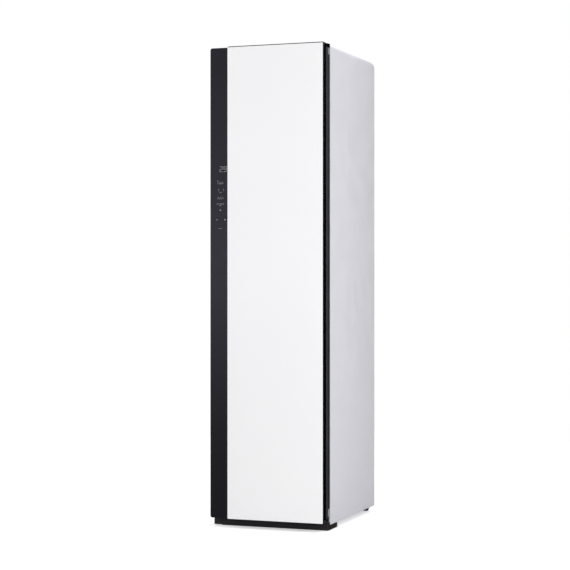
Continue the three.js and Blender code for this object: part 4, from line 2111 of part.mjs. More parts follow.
// The plate about its hinge line: ribbed and slotted, with a knuckle below each lug.
function pressPlate() {
  const half = PRESS_PLATE / 2;
  const left = -PRESS_WIDTH / 2 - PRESS_PIN_X + 2 * FIT;
  const right = PRESS_WIDTH / 2 - PRESS_PIN_X;
  const high = PRESS_LOW + PRESS_HEIGHT;
  const face = rectangle(left, right - FIT, PRESS_LOW, high, PRESS_CORNER);
  const pitch = PRESS_HEIGHT / PRESS_RIBS;
  const slots = [];
  for (let row = 0; row < PRESS_RIBS; row += 1) {
    for (let column = 0; column < PRESS_SLOTS; column += 1) {
      const x = left + (PRESS_WIDTH * (column + 1)) / (PRESS_SLOTS + 1);
      const z = PRESS_LOW + pitch * (row + 0.5);
      const reach = PRESS_SLOT_LENGTH / 2;
      slots.push(block(x - PRESS_SLOT_WIDTH, x, -half - OVERRUN, half + OVERRUN, z - reach, z + reach));
    }
  }
  const solids = [alongY(face, -half, half).subtract(joined(slots))];
  for (let row = 1; row < PRESS_RIBS; row += 1) {
    const z = PRESS_LOW + pitch * row;
    const inset = PRESS_CORNER;
    solids.push(block(
      left + inset,
      right - inset - LATCH_LENGTH,
      half - FIT,
      half + PRESS_RIB,
      z - PRESS_RIB,
      z + PRESS_RIB,
    ));
  }
  for (const z of pressLugHeights()) {
    const top = z + PRESS_KNUCKLE_LENGTH / 4 - FIT;
    const low = z - PRESS_KNUCKLE_LENGTH / 4;
    solids.push(alongZ(circle(0, 0, PRESS_KNUCKLE), low, top));
    solids.push(block(0, left + PRESS_KNUCKLE, -half, half, low, top));
  }
  const bore = roundHole(0, 0, PRESS_PIN + FIT);
  return joined(solids).subtract(alongZ(bore, PRESS_LOW - OVERRUN, high + OVERRUN));
}

// A turn button on the pad's margin: at rest it points up, clear of the plate.
function pressLatch() {
  const under = PRESS_PLATE + PRESS_RIB + 2 * FIT;
  const half = LATCH_WIDTH / 2;
  const pin = alongY(circle(0, 0, LATCH_PIN), -PRESS_PAD + PRESS_PLATE + FIT, under);
  const lever = rectangle(-half, half, -half, LATCH_LENGTH, half);
  return pin.add(alongY(lever, PRESS_PLATE + 2 * FIT, PRESS_PLATE + 2 * FIT + LATCH));
}

// Assembly

const cabinet = new THREE.Group();
const chamber = new THREE.Group();
const machineBay = new THREE.Group();
const door = new THREE.Group();
cabinet.add(chamber, machineBay, door);

addPiece(cabinet, "outer_case", outerCase(), paleSteel);
addPiece(cabinet, "rear_panel", rearPanel(), zinc);
addPiece(cabinet, "base_pan", basePan(), zinc);
addPiece(cabinet, "front_plinth", frontPlinth(), blackPlastic);
addPiece(cabinet, "plinth_end_cover", plinthEndCover(), blackPlastic);
addPiece(cabinet, "foam_insulation", foamInsulation(), foam);
addPiece(cabinet, "top_hinge_bracket", topHingeBracket(), steel);
addPiece(cabinet, "top_hinge_pin", topHingePin(), steel);
addPiece(cabinet, "top_hinge_cover", topHingeCover(), blackPlastic);
addPiece(cabinet, "bottom_hinge_bracket", bottomHingeBracket(), blackSteel);
addPiece(cabinet, "bottom_hinge_pin", bottomHingePin(), steel);
for (const [hand, name] of [[-1, "left"], [1, "right"]]) {
  const foot = addPiece(cabinet, `levelling_foot_${name}`, levellingFoot(), rubber);
  foot.position.set(hand * (SIDE - FOOT_INSET), FRONT + FOOT_SETBACK, 0);
  const roller = addPiece(cabinet, `rear_roller_${name}`, rearRoller(), rubber);
  const axle = addPiece(cabinet, `roller_axle_${name}`, rollerAxle(), steel);
  for (const piece of [roller, axle]) {
    piece.position.set(rollerPlace(hand), BACK - ROLLER_FROM_BACK, ROLLER_RADIUS);
    piece.rotation.y = Math.PI / 2;
  }
}

addPiece(chamber, "inner_liner", innerLiner(), chamberPlastic);
addPiece(chamber, "lamp_lens", lampLens(), clearPlastic);
addPiece(chamber, "outlet_grille", outletGrille(), greyPlastic);
addPiece(chamber, "steam_nozzle", steamNozzle(), greyPlastic);
addPiece(chamber, "shelf_rack", shelfRack(), chamberPlastic);
const filter = addPiece(chamber, "lint_filter", lintFilter(), greyPlastic);
filter.position.set(FILTER_SIDE, FRONT + FILTER_SETBACK, CHAMBER_FLOOR);
const aroma = addPiece(chamber, "aroma_kit", aromaKit(), greyPlastic);
aroma.position.set(AROMA_SIDE, FRONT + FILTER_SETBACK, CHAMBER_FLOOR);
addPiece(chamber, "drive_housing", driveHousing(), greyPlastic);
addPiece(chamber, "hanger_motor", hangerMotor(), steel);
addPiece(chamber, "crank_disc", crankDisc(), greyPlastic).position.set(0, DRIVE_Y, CHAMBER_TOP);
for (const [hand, name] of [[-1, "front"], [1, "rear"]]) {
  const rail = addPiece(chamber, `hanger_rail_${name}`, hangerRail(), steel);
  rail.position.set(0, DRIVE_Y + hand * RAIL_SPREAD, RAIL_HEIGHT);
}
addPiece(chamber, "hanger_bar", hangerBar(), greyPlastic).position.set(0, DRIVE_Y, RAIL_HEIGHT);

addPiece(machineBay, "tank_housing", tankHousing(), greyPlastic);
for (const [hand, name] of [[-1, "supply_tank"], [1, "drain_tank"]]) {
  const tank = new THREE.Group();
  tank.position.set(hand * TANK_CENTRE, TANK_FRONT, TANK_FLOOR);
  addPiece(tank, name, tankBody(), smokePlastic);
  addPiece(tank, `${name}_lid`, tankLid(hand), greyPlastic);
  machineBay.add(tank);
}
addPiece(machineBay, "duct_tray", ductTray(), greyPlastic);
const coilX = (TRAY_LEFT + TRAY_RIGHT) / 2;
const coilFront = TRAY_FRONT + TRAY_WALL + TRAY_DEPTH * COIL_GAP_SHARE + COIL_DEPTH / 2;
const coilFloor = TRAY_FLOOR + TRAY_WALL + FIT;
addPiece(machineBay, "evaporator", finnedCoil(), aluminium).position.set(coilX, coilFront, coilFloor);
const condenser = addPiece(machineBay, "condenser", finnedCoil(), aluminium);
condenser.position.set(coilX, coilFront + COIL_DEPTH + TRAY_DEPTH * COIL_SPACING_SHARE, coilFloor);
addPiece(machineBay, "fan_scroll", fanScroll(), greyPlastic);
const wheel = addPiece(machineBay, "fan_impeller", fanImpeller(), blackPlastic);
wheel.position.set(FAN_SIDE, FAN_FRONT + FAN_BOX_DEPTH / 2, FAN_HEIGHT);
addPiece(machineBay, "fan_motor", fanMotor(), steel);
addPiece(machineBay, "compressor", compressor(), blackSteel).position.set(...compressorPlace());
const steamer = addPiece(machineBay, "steam_generator", steamGenerator(), aluminium);
steamer.position.set(STEAMER_SIDE, STEAMER_Y, PAN_TOP + FIT);
addPiece(machineBay, "steam_hose", steamHose(), rubber);
for (const [name, share] of [["water_pump", WATER_PUMP_SHARE], ["drain_pump", DRAIN_PUMP_SHARE]]) {
  addPiece(machineBay, name, pump(), blackPlastic).position.set(SIDE * share, PUMP_Y, PAN_TOP + FIT);
}
addPiece(machineBay, "control_box", controlBox(), greyPlastic);
addPiece(machineBay, "power_inlet", powerInlet(), blackPlastic);

addPiece(door, "door_frame", doorFrame(), blackPlastic);
addPiece(door, "door_glass_panel", doorGlassPanel(), whiteGlass);
addPiece(door, "control_strip_glass", controlStripGlass(), darkGlass);
addPiece(door, "display_board", displayBoard(), boardGreen);
addPiece(door, "door_top_cap", doorCap(DOOR_TOP - CAP, DOOR_TOP), blackPlastic);
addPiece(door, "door_bottom_cap", doorCap(DOOR_LIFT, DOOR_LIFT + CAP), blackPlastic);
addPiece(door, "door_liner", doorLiner(), greyPlastic);
addPiece(door, "door_gasket", doorGasket(), rubber);
addPiece(door, "press_pad", pressPad(), cloth);
addPiece(door, "press_hinge_pin", pressHingePin(), steel);
addPiece(door, "press_plate", pressPlate(), chamberPlastic).position.set(PRESS_PIN_X, PRESS_PIN_Y, 0);
const latch = addPiece(door, "press_latch", pressLatch(), greyPlastic);
const latchX = PRESS_WIDTH / 2 + PRESS_LATCH_MARGIN / 2;
latch.position.set(latchX, PRESS_FACE, PRESS_LOW + PRESS_HEIGHT / 2);

export default cabinet;
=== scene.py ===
import json
import math

import bpy
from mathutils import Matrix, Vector


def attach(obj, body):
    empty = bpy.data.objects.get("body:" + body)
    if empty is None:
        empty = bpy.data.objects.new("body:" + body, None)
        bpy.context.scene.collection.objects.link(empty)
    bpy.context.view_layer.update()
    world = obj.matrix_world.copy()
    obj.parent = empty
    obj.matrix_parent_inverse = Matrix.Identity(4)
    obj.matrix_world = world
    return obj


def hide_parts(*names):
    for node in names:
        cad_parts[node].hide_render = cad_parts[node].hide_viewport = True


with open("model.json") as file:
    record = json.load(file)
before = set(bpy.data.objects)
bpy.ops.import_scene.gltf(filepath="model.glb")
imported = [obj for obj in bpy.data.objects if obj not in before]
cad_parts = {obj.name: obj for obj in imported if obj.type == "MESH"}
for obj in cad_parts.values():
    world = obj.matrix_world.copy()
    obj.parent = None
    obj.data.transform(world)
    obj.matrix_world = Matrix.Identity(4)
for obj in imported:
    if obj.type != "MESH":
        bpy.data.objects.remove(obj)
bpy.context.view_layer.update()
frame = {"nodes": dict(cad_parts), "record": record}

# Lengths are in metres, in the cabinet's own frame: +Z up, the door's front towards -Y.
MM = 0.001

# Where the faces that carry small details lie along Y.
STRIP_FRONT = -0.300
HINGE_FLANGE = -0.2473
TANK_FRONT = -0.225
CHAMBER_BACK = 0.269
REAR_SHEET = 0.3252


# ---- Materials ----

# Most values of a noise texture lie between these two.
NOISE_LOW, NOISE_HIGH = 0.35, 0.65

# The cosine between a rounded normal and the true one, on an edge and on a flat.
LEAN_EDGE, LEAN_FLAT = 0.72, 0.985

# The Mix node's sockets for colours.
MIX_FACTOR, MIX_FIRST, MIX_SECOND, MIX_RESULT = 0, 6, 7, 2


class Graph:
    """The node tree of a material or a world, with short calls for adding and linking nodes."""

    def __init__(self, owner):
        owner.use_nodes = True
        self.nodes = owner.node_tree.nodes
        self.links = owner.node_tree.links

    def add(self, kind, **settings):
        node = self.nodes.new(kind)
        for key, value in settings.items():
            setattr(node, key, value)
        return node

    def feed(self, value, socket):
        """Links an output to the socket, or sets the socket to a colour or a number."""
        if isinstance(value, bpy.types.NodeSocket):
            self.links.new(value, socket)
        elif isinstance(value, tuple):
            socket.default_value = (*value, 1.0)[:4]
        else:
            socket.default_value = value

    def spread(self, value, low, high, from_low=NOISE_LOW, from_high=NOISE_HIGH):
        """Maps a value from one range to another, and holds it there."""
        node = self.add("ShaderNodeMapRange")
        self.feed(value, node.inputs["Value"])
        self.feed(from_low, node.inputs["From Min"])
        self.feed(from_high, node.inputs["From Max"])
        self.feed(low, node.inputs["To Min"])
        self.feed(high, node.inputs["To Max"])
        return node.outputs["Result"]

    def math(self, operation, first, second=0.0):
        node = self.add("ShaderNodeMath", operation=operation)
        self.feed(first, node.inputs[0])
        self.feed(second, node.inputs[1])
        return node.outputs[0]


class Finish(Graph):
    """A material, with short calls for the patterns that every finish here is made of."""

    def __init__(self, name):
        self.material = bpy.data.materials.new(name)
        super().__init__(self.material)
        self.shader = self.nodes["Principled BSDF"]
        self.place = self.add("ShaderNodeTexCoord").outputs["Object"]

    def noise(self, scale, detail=3.0, stretch=None):
        place = self.place
        if stretch:
            mapping = self.add("ShaderNodeMapping")
            self.feed(place, mapping.inputs["Vector"])
            self.feed(stretch, mapping.inputs["Scale"])
            place = mapping.outputs["Vector"]
        node = self.add("ShaderNodeTexNoise")
        self.feed(place, node.inputs["Vector"])
        self.feed(scale, node.inputs["Scale"])
        self.feed(detail, node.inputs["Detail"])
        return node.outputs["Fac"]

    def mix(self, factor, first, second):
        node = self.add("ShaderNodeMix", data_type="RGBA")
        self.feed(factor, node.inputs[MIX_FACTOR])
        self.feed(first, node.inputs[MIX_FIRST])
        self.feed(second, node.inputs[MIX_SECOND])
        return node.outputs[MIX_RESULT]

    def tinge(self, base, color, mask, amount):
        """The base, moved towards a colour by an amount where the mask is 1."""
        return self.mix(self.math("MULTIPLY", mask, amount), base, color)

    def edges(self, radius):
        """1 on edges and near 0 on flats, from how far a rounded normal leans off the true one."""
        bevel = self.add("ShaderNodeBevel", samples=4)
        self.feed(radius, bevel.inputs["Radius"])
        face = self.add("ShaderNodeNewGeometry")
        lean = self.add("ShaderNodeVectorMath", operation="DOT_PRODUCT")
        self.feed(bevel.outputs["Normal"], lean.inputs[0])
        self.feed(face.outputs["True Normal"], lean.inputs[1])
        return self.spread(lean.outputs["Value"], 1.0, 0.0, LEAN_EDGE, LEAN_FLAT)

    def bump(self, height, strength, distance):
        node = self.add("ShaderNodeBump")
        self.feed(strength, node.inputs["Strength"])
        self.feed(distance, node.inputs["Distance"])
        self.feed(height, node.inputs["Height"])
        self.feed(node.outputs["Normal"], self.shader.inputs["Normal"])

    def color(self, value):
        self.feed(value, self.shader.inputs["Base Color"])

    def roughness(self, value):
        self.feed(value, self.shader.inputs["Roughness"])

    def set(self, **values):
        for key, value in values.items():
            self.shader.inputs[key.replace("_", " ")].default_value = value


def shade(color, factor):
    return tuple(min(1.0, channel * factor) for channel in color)


def surface(name, color, roughness, *, vary, grain, wear, patch=6.0, grain_depth=0.02,
            rough_spread=0.06, metallic=0.0, wear_color=None, **extra):
    """A finish with slow colour drift, uneven gloss, a fine grain and worn edges.

    vary and rough_spread say how far colour and roughness wander, patch and grain are scales
    of noise, and grain_depth is in millimetres.
    """
    tree = Finish(name)
    drift = tree.spread(tree.noise(patch, 4.0), 0.0, 1.0)
    base = tree.mix(drift, shade(color, 1 - vary), shade(color, 1 + vary))
    smear = tree.noise(patch * 7, 5.0)
    gloss = tree.spread(smear, roughness - rough_spread, roughness + rough_spread)
    scuffs = tree.spread(tree.noise(120.0, 6.0), 0.2, 1.0)
    worn = tree.math("MULTIPLY", tree.edges(0.0012), scuffs)
    worn = tree.math("MULTIPLY", worn, wear)
    tree.color(tree.mix(worn, base, wear_color or shade(color, 1.5)))
    tree.roughness(tree.math("ADD", gloss, tree.math("MULTIPLY", worn, 0.12)))
    tree.bump(tree.noise(grain, 2.0), 0.25, grain_depth * MM)
    tree.set(Metallic=metallic, **extra)
    return tree.material


def brushed(name, color, roughness, axis):
    """Drawn or turned metal: fine streaks along one axis."""
    tree = Finish(name)
    stretch = [900.0, 900.0, 900.0]
    stretch[axis] = 12.0
    streak = tree.noise(1.0, 4.0, stretch)
    drift = tree.spread(tree.noise(9.0), 0.0, 1.0)
    base = tree.mix(tree.spread(streak, 0.0, 1.0), shade(color, 0.86), shade(color, 1.08))
    base = tree.tinge(base, shade(color, 0.9), drift, 0.25)
    tree.color(tree.tinge(base, shade(color, 1.25), tree.edges(0.0008), 0.3))
    tree.roughness(tree.spread(streak, roughness - 0.08, roughness + 0.1))
    tree.bump(streak, 0.2, 0.02 * MM)
    tree.set(Metallic=1.0, Anisotropic=0.4)
    return tree.material


def spangled(name, color):
    """Zinc-coated sheet: pale crystals of many sizes with a dull sheen."""
    tree = Finish(name)
    crystals = tree.add("ShaderNodeTexVoronoi")
    tree.feed(tree.place, crystals.inputs["Vector"])
    tree.feed(55.0, crystals.inputs["Scale"])
    grey = tree.add("ShaderNodeRGBToBW")
    tree.feed(crystals.outputs["Color"], grey.inputs["Color"])
    base = tree.mix(grey.outputs["Val"], shade(color, 0.84), shade(color, 1.1))
    base = tree.mix(tree.spread(tree.noise(4.0), 0.0, 0.35), base, shade(color, 0.9))
    tree.color(tree.tinge(base, shade(color, 1.3), tree.edges(0.001), 0.4))
    tree.roughness(tree.spread(grey.outputs["Val"], 0.38, 0.54, 0.0, 1.0))
    tree.bump(tree.noise(300.0), 0.12, 0.03 * MM)
    tree.set(Metallic=0.45)
    return tree.material


def woven(name, color, pitch, depth):
    """A plain weave: two crossed sets of threads, with small slubs in the yarn."""
    tree = Finish(name)
    threads = []
    for direction in "XZ":
        wave = tree.add("ShaderNodeTexWave", wave_type="BANDS", bands_direction=direction)
        tree.feed(tree.place, wave.inputs["Vector"])
        tree.feed(1 / pitch / 3.2, wave.inputs["Scale"])
        tree.feed(0.6, wave.inputs["Distortion"])
        tree.feed(1.0, wave.inputs["Detail"])
        threads.append(wave.outputs["Fac"])
    weave = tree.math("MAXIMUM", *threads)
    drift = tree.spread(tree.noise(14.0, 5.0), 0.0, 1.0)
    base = tree.mix(weave, shade(color, 0.62), shade(color, 1.12))
    base = tree.tinge(base, shade(color, 0.8), drift, 0.3)
    tree.color(tree.tinge(base, shade(color, 1.5), tree.edges(0.002), 0.3))
    tree.roughness(tree.spread(tree.noise(60.0), 0.82, 0.95))
    tree.bump(weave, 0.5, depth)
    tree.set(Sheen_Weight=0.4, Sheen_Roughness=0.5)
    return tree.material


def backed_glass(name, color, edge):
    """Glass painted on its back: the colour shows through the face, and the cut edges look dark."""
    tree = Finish(name)
    split = tree.add("ShaderNodeSeparateXYZ")
    tree.feed(tree.add("ShaderNodeTexCoord").outputs["Normal"], split.inputs[0])
    facing = tree.spread(tree.math("ABSOLUTE", split.outputs["Y"]), 0.0, 1.0, 0.80, 0.98)
    drift = tree.spread(tree.noise(1.2, 4.0), 0.0, 1.0)
    face = tree.mix(drift, shade(color, 0.994), shade(color, 1.006))
    glass = tree.mix(facing, edge, face)
    # The rounded rims are tinged pale: a painted highlight along the panel's edges.
    tree.color(tree.tinge(glass, (0.80, 0.84, 0.84), tree.edges(0.0005), 0.10))
    tree.roughness(tree.spread(tree.noise(8.0, 5.0), 0.07, 0.13))
    tree.bump(tree.noise(40.0, 2.0), 0.25, 0.01 * MM)
    tree.set(IOR=1.5)
    return tree.material


def glowing(name, color, strength):
    """A lit legend on the dark strip, a little uneven, as from small lamps behind it."""
    tree = Finish(name)
    uneven = tree.spread(tree.noise(90.0, 2.0), 0.82, 1.0)
    tree.color(tree.mix(uneven, shade(color, 0.3), shade(color, 0.4)))
    tree.roughness(tree.spread(tree.noise(300.0), 0.3, 0.45))
    tree.bump(tree.noise(1500.0, 2.0), 0.1, 0.01 * MM)
    fade = tree.math("MULTIPLY", tree.edges(0.0003), 0.4)
    glow = tree.math("MULTIPLY", uneven, strength)
    glow = tree.math("MULTIPLY", glow, tree.math("SUBTRACT", 1.0, fade))
    tree.feed(color, tree.shader.inputs["Emission Color"])
    tree.feed(glow, tree.shader.inputs["Emission Strength"])
    return tree.material


finishes = {
    "white_glass": backed_glass("white_glass", (0.885, 0.885, 0.892), (0.010, 0.014, 0.013)),
    "dark_glass": surface(
        "dark_glass", (0.0035, 0.0033, 0.0045), 0.09, vary=0.1, patch=2.0, grain=40.0,
        grain_depth=0.01, rough_spread=0.03, wear=0.2, wear_color=(0.05, 0.06, 0.06), IOR=1.5),
    "black_plastic": surface(
        "black_plastic", (0.0014, 0.0013, 0.0017), 0.25, vary=0.12, grain=1400.0, wear=0.25,
        wear_color=(0.04, 0.04, 0.045), Specular_IOR_Level=0.15),
    "plinth_plastic": surface(
        "plinth_plastic", (0.020, 0.0180, 0.0165), 0.42, vary=0.12, grain=900.0,
        grain_depth=0.04, wear=0.25, wear_color=(0.08, 0.08, 0.08), Specular_IOR_Level=0.3),
    "grey_plastic": surface(
        "grey_plastic", (0.030, 0.029, 0.034), 0.45, vary=0.10, grain=1100.0, grain_depth=0.04,
        wear=0.3, wear_color=(0.10, 0.10, 0.11)),
    "pale_painted_steel": surface(
        "pale_painted_steel", (0.66, 0.66, 0.70), 0.36, vary=0.012, patch=2.0, grain=520.0,
        grain_depth=0.05, wear=0.3, wear_color=(0.80, 0.80, 0.83)),
    "zinc_sheet": spangled("zinc_sheet", (0.55, 0.57, 0.59)),
    "steel": brushed("steel", (0.60, 0.61, 0.63), 0.30, axis=2),
    "black_steel": surface(
        "black_steel", (0.018, 0.018, 0.020), 0.38, metallic=0.3, vary=0.15, grain=700.0,
        grain_depth=0.05, wear=0.5, wear_color=(0.22, 0.22, 0.23)),
    "aluminium": brushed("aluminium", (0.74, 0.75, 0.77), 0.38, axis=0),
    "chamber_plastic": surface(
        "chamber_plastic", (0.68, 0.69, 0.71), 0.40, vary=0.02, patch=3.0, grain=1000.0,
        grain_depth=0.03, wear=0.2, wear_color=(0.80, 0.80, 0.82)),
    "insulation_foam": surface(
        "insulation_foam", (0.72, 0.64, 0.38), 0.92, vary=0.12, patch=30.0, grain=260.0,
        grain_depth=0.6, wear=0.2),
    "rubber": surface(
        "rubber", (0.011, 0.011, 0.012), 0.72, vary=0.15, grain=1600.0, grain_depth=0.05,
        wear=0.3, wear_color=(0.05, 0.05, 0.05), Specular_IOR_Level=0.3),
    "smoke_plastic": surface(
        "smoke_plastic", (0.34, 0.38, 0.42), 0.16, vary=0.05, grain=200.0, wear=0.2,
        wear_color=(0.6, 0.64, 0.68), Transmission_Weight=0.55, IOR=1.49),
    "clear_plastic": surface(
        "clear_plastic", (0.86, 0.88, 0.90), 0.35, vary=0.02, grain=320.0, grain_depth=0.08,
        wear=0.1, Transmission_Weight=0.35, IOR=1.49, Emission_Strength=0.8,
        Emission_Color=(1.0, 0.97, 0.90, 1.0)),
    "circuit_board": surface(
        "circuit_board", (0.015, 0.10, 0.05), 0.4, vary=0.2, patch=40.0, grain=500.0,
        wear=0.3, wear_color=(0.25, 0.22, 0.12)),
    "pad_cloth": woven("pad_cloth", (0.23, 0.235, 0.25), pitch=1.1 * MM, depth=0.25 * MM),
    "pad_thread": woven("pad_thread", (0.42, 0.43, 0.45), pitch=0.4 * MM, depth=0.08 * MM),
    "mesh_wire": brushed("mesh_wire", (0.42, 0.42, 0.43), 0.36, axis=0),
    "lit_digits": glowing("lit_digits", (0.95, 0.94, 1.0), 0.33),
    "lit_dots": glowing("lit_dots", (0.86, 0.82, 1.0), 0.18),
    "dim_icons": glowing("dim_icons", (0.84, 0.82, 0.95), 0.022),
}


# ---- Surfaces that are smooth across the facets of round forms and sharp at true edges ----

def smoothing(limit):
    """Nodes that shade a mesh smooth, but for edges that turn by more degrees than the limit."""
    group = bpy.data.node_groups.new("smoothing", "GeometryNodeTree")
    group.interface.new_socket("Geometry", in_out="INPUT", socket_type="NodeSocketGeometry")
    group.interface.new_socket("Geometry", in_out="OUTPUT", socket_type="NodeSocketGeometry")
    nodes, links = group.nodes, group.links
    start, end = nodes.new("NodeGroupInput"), nodes.new("NodeGroupOutput")
    merge = nodes.new("GeometryNodeMergeByDistance")
    merge.inputs["Distance"].default_value = 0.01 * MM
    smooth = nodes.new("GeometryNodeSetShadeSmooth")
    smooth.domain = "FACE"
    angle = nodes.new("GeometryNodeInputMeshEdgeAngle")
    sharp = nodes.new("FunctionNodeCompare")
    sharp.operation = "GREATER_THAN"
    sharp.inputs["B"].default_value = math.radians(limit)
    crease = nodes.new("GeometryNodeSetShadeSmooth")
    crease.domain = "EDGE"
    crease.inputs["Shade Smooth"].default_value = False
    links.new(start.outputs[0], merge.inputs["Geometry"])
    links.new(merge.outputs["Geometry"], smooth.inputs["Geometry"])
    links.new(smooth.outputs["Geometry"], crease.inputs["Geometry"])
    links.new(angle.outputs["Unsigned Angle"], sharp.inputs["A"])
    links.new(sharp.outputs["Result"], crease.inputs["Selection"])
    links.new(crease.outputs["Geometry"], end.inputs[0])
    return group


SMOOTH = smoothing(34)

# Nodes that differ a little from the other pieces of their slot.
OWN_FINISH = {"front_plinth": "plinth_plastic", "plinth_end_cover": "plinth_plastic"}

for part in frame["record"]["subparts"]:
    node = frame["nodes"][part["node"]]
    node.data.materials.clear()
    node.data.materials.append(finishes[OWN_FINISH.get(part["node"], part["material_slot"])])
    if "custom_normal" in node.data.attributes:
        node.data.attributes.remove(node.data.attributes["custom_normal"])
    node.modifiers.new("smooth", "NODES").node_group = SMOOTH


# ---- Building detailed pieces ----


def bend(points, i, closed=False):
    """The way along a line at point i, the way into it and the way out of it, None at an end."""
    count = len(points)
    before = after = None
    if closed or i:
        before = (points[i] - points[i - 1]).normalized()
    if closed or i + 1 < count:
        after = (points[(i + 1) % count] - points[i]).normalized()
    return ((before or after) + (after or before)).normalized(), before, after


def circle(centre, along, side, radius, sides):
    """Points round a centre, square to one direction, beginning at another."""
    other = along.cross(side)
    return [centre + (side * math.cos(a) + other * math.sin(a)) * radius
            for a in (2 * math.pi * k / sides for k in range(sides))]


class Form:
    """Gathers closed forms into the mesh of one piece."""

    def __init__(self):
        self.points = []
        self.faces = []

    def loft(self, rings, *, closed=False):
        """Joins equal rings of points into a skin, with end caps unless it closes on itself."""
        count, base = len(rings[0]), len(self.points)
        for ring in rings:
            self.points.extend(Vector(point) for point in ring)
        spans = len(rings) if closed else len(rings) - 1
        for i in range(spans):
            here, there = base + i * count, base + (i + 1) % len(rings) * count
            for k in range(count):
                n = (k + 1) % count
                self.faces.append((here + k, here + n, there + n, there + k))
        if not closed:
            self.faces.append(tuple(base + k for k in reversed(range(count))))
            self.faces.append(tuple(base + (len(rings) - 1) * count + k for k in range(count)))
        return self

    def box(self, low, high):
        (left, front, bottom), (right, back, top) = low, high
        plan = [(left, front), (right, front), (right, back), (left, back)]
        return self.loft([[(x, y, z) for x, y in plan] for z in (bottom, top)])

    def turn(self, profile, centre, axis, sides=20):
        """A form turned about an axis through a centre, from (radius, distance along it) points."""
        along = Vector(axis).normalized()
        side = along.orthogonal().normalized()
        return self.loft([circle(Vector(centre) + along * height, along, side, radius, sides)
                          for radius, height in profile])

    def tube(self, points, radius, sides):
        """A round wire through the points, with mitred bends."""
        points = [Vector(point) for point in points]
        rings = []
        side = None
        for i, point in enumerate(points):
            along, _, _ = bend(points, i)
            side = along.orthogonal() if side is None else side - along * side.dot(along)
            side = side.normalized()
            rings.append(circle(point, along, side, radius, sides))
        return self.loft(rings)

    def piece(self, name, finish, body, *, slot=None):
        """Makes one named piece in its finish, that rides on a body. The slot is not used."""
        mesh = bpy.data.meshes.new(name)
        mesh.from_pydata([tuple(point) for point in self.points], [], self.faces)
        mesh.materials.append(finishes[finish])
        obj = bpy.data.objects.new(name, mesh)
        bpy.context.scene.collection.objects.link(obj)
        obj.modifiers.new("smooth", "NODES").node_group = SMOOTH
        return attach(obj, body)


def rounded_ring(half, low, high, radius, steps=6):
    """Points round a tall rectangle in the x-z plane, and the way outward at each of them."""
    found = []
    for x, z, start in ((half, high, 0), (-half, high, 90), (-half, low, 180), (half, low, 270)):
        centre = (x - math.copysign(radius, x), z + (radius if z == low else -radius))
        for k in range(steps + 1):
            a = math.radians(start + 90 * k / steps)
            out = (math.cos(a), math.sin(a))
            found.append(((centre[0] + radius * out[0], centre[1] + radius * out[1]), out))
    return found


def raised_panel(x, half, low, high, corner, levels):
    """Rings of a low panel about x. A level is a ring's y, and how far it lies inside."""
    return [[(x + across, y, z) for (across, z), _ in
             rounded_ring(half - inset, low + inset, high - inset, corner - inset)]
            for y, inset in levels]


def swept(line, section):
    """Rings of a section, given as (outward, y) points in millimetres, carried round a line."""
    return [[(x + n * MM * out_x, y * MM, z + n * MM * out_z) for n, y in section]
            for (x, z), (out_x, out_z) in line]


def arc(centre, radius, start, end, steps=14):
    """Points on a circle between two angles in degrees."""
    angles = [math.radians(start + (end - start) * k / steps) for k in range(steps + 1)]
    return [(centre[0] + radius * math.cos(a), centre[1] + radius * math.sin(a)) for a in angles]


def screw(form, place, axis, radius, height):
    """A flanged hexagon head with a recess, standing on a face; the axis points out of the face."""
    flange = [(1.35, 0.0), (1.35, 0.2), (1.05, 0.36)]
    hexagon = [(0.86, 0.3), (0.86, 0.9), (0.72, 1.0), (0.30, 1.0), (0.16, 0.55)]
    for profile, sides in ((flange, 24), (hexagon, 6)):
        form.turn([(radius * r, height * h) for r, h in profile], place, axis, sides)


# ---- Door: display, gasket and trouser press ----

# How far a lit line stands out of the strip's glass, and how far it reaches into it.
LINE_OUT, LINE_IN = 0.18 * MM, 0.1 * MM

# An open line runs on past its ends by this share of its width.
LINE_OVERRUN = 0.35

# The least cosine that a mitre is widened by, so that sharp bends stay blunt.
MITRE_LEAST = 0.35


def flat_stroke(form, points, width, closed=False):
    """A thin line of light with mitred bends, drawn through (x, z) points on the strip's glass."""
    points = [Vector(point) for point in points]
    front, back = STRIP_FRONT - LINE_OUT, STRIP_FRONT + LINE_IN
    rings = []
    for i, point in enumerate(points):
        along, before, after = bend(points, i, closed)
        mitre = max((before or after).dot(along), MITRE_LEAST)
        across = Vector((-along.y, along.x)) * width / 2 / mitre
        ending = (before is not None) - (after is not None)
        point = point + along * width * LINE_OVERRUN * ending
        (left, low), (right, high) = point + across, point - across
        rings.append([(left, front, low), (right, front, high),
                      (right, back, high), (left, back, low)])
    form.loft(rings, closed=closed)


def digit(form, lit, left):
    """Seven straight segments, named from a at the top round to f, with g across the middle."""
    low, width, height = 1.3705, 0.0105, 0.0190
    slant, gap = 0.06, 0.05

    def at(x, z):
        return (left + (x + slant * z * height / width) * width, low + z * height)

    ends = {
        "a": (at(gap, 1), at(1 - gap, 1)), "b": (at(1, 1 - gap), at(1, 0.5 + gap)),
        "c": (at(1, 0.5 - gap), at(1, gap)), "d": (at(gap, 0), at(1 - gap, 0)),
        "e": (at(0, 0.5 - gap), at(0, gap)), "f": (at(0, 1 - gap), at(0, 0.5 + gap)),
        "g": (at(gap, 0.5), at(1 - gap, 0.5)),
    }
    for name in lit:
        flat_stroke(form, ends[name], 0.85 * MM)


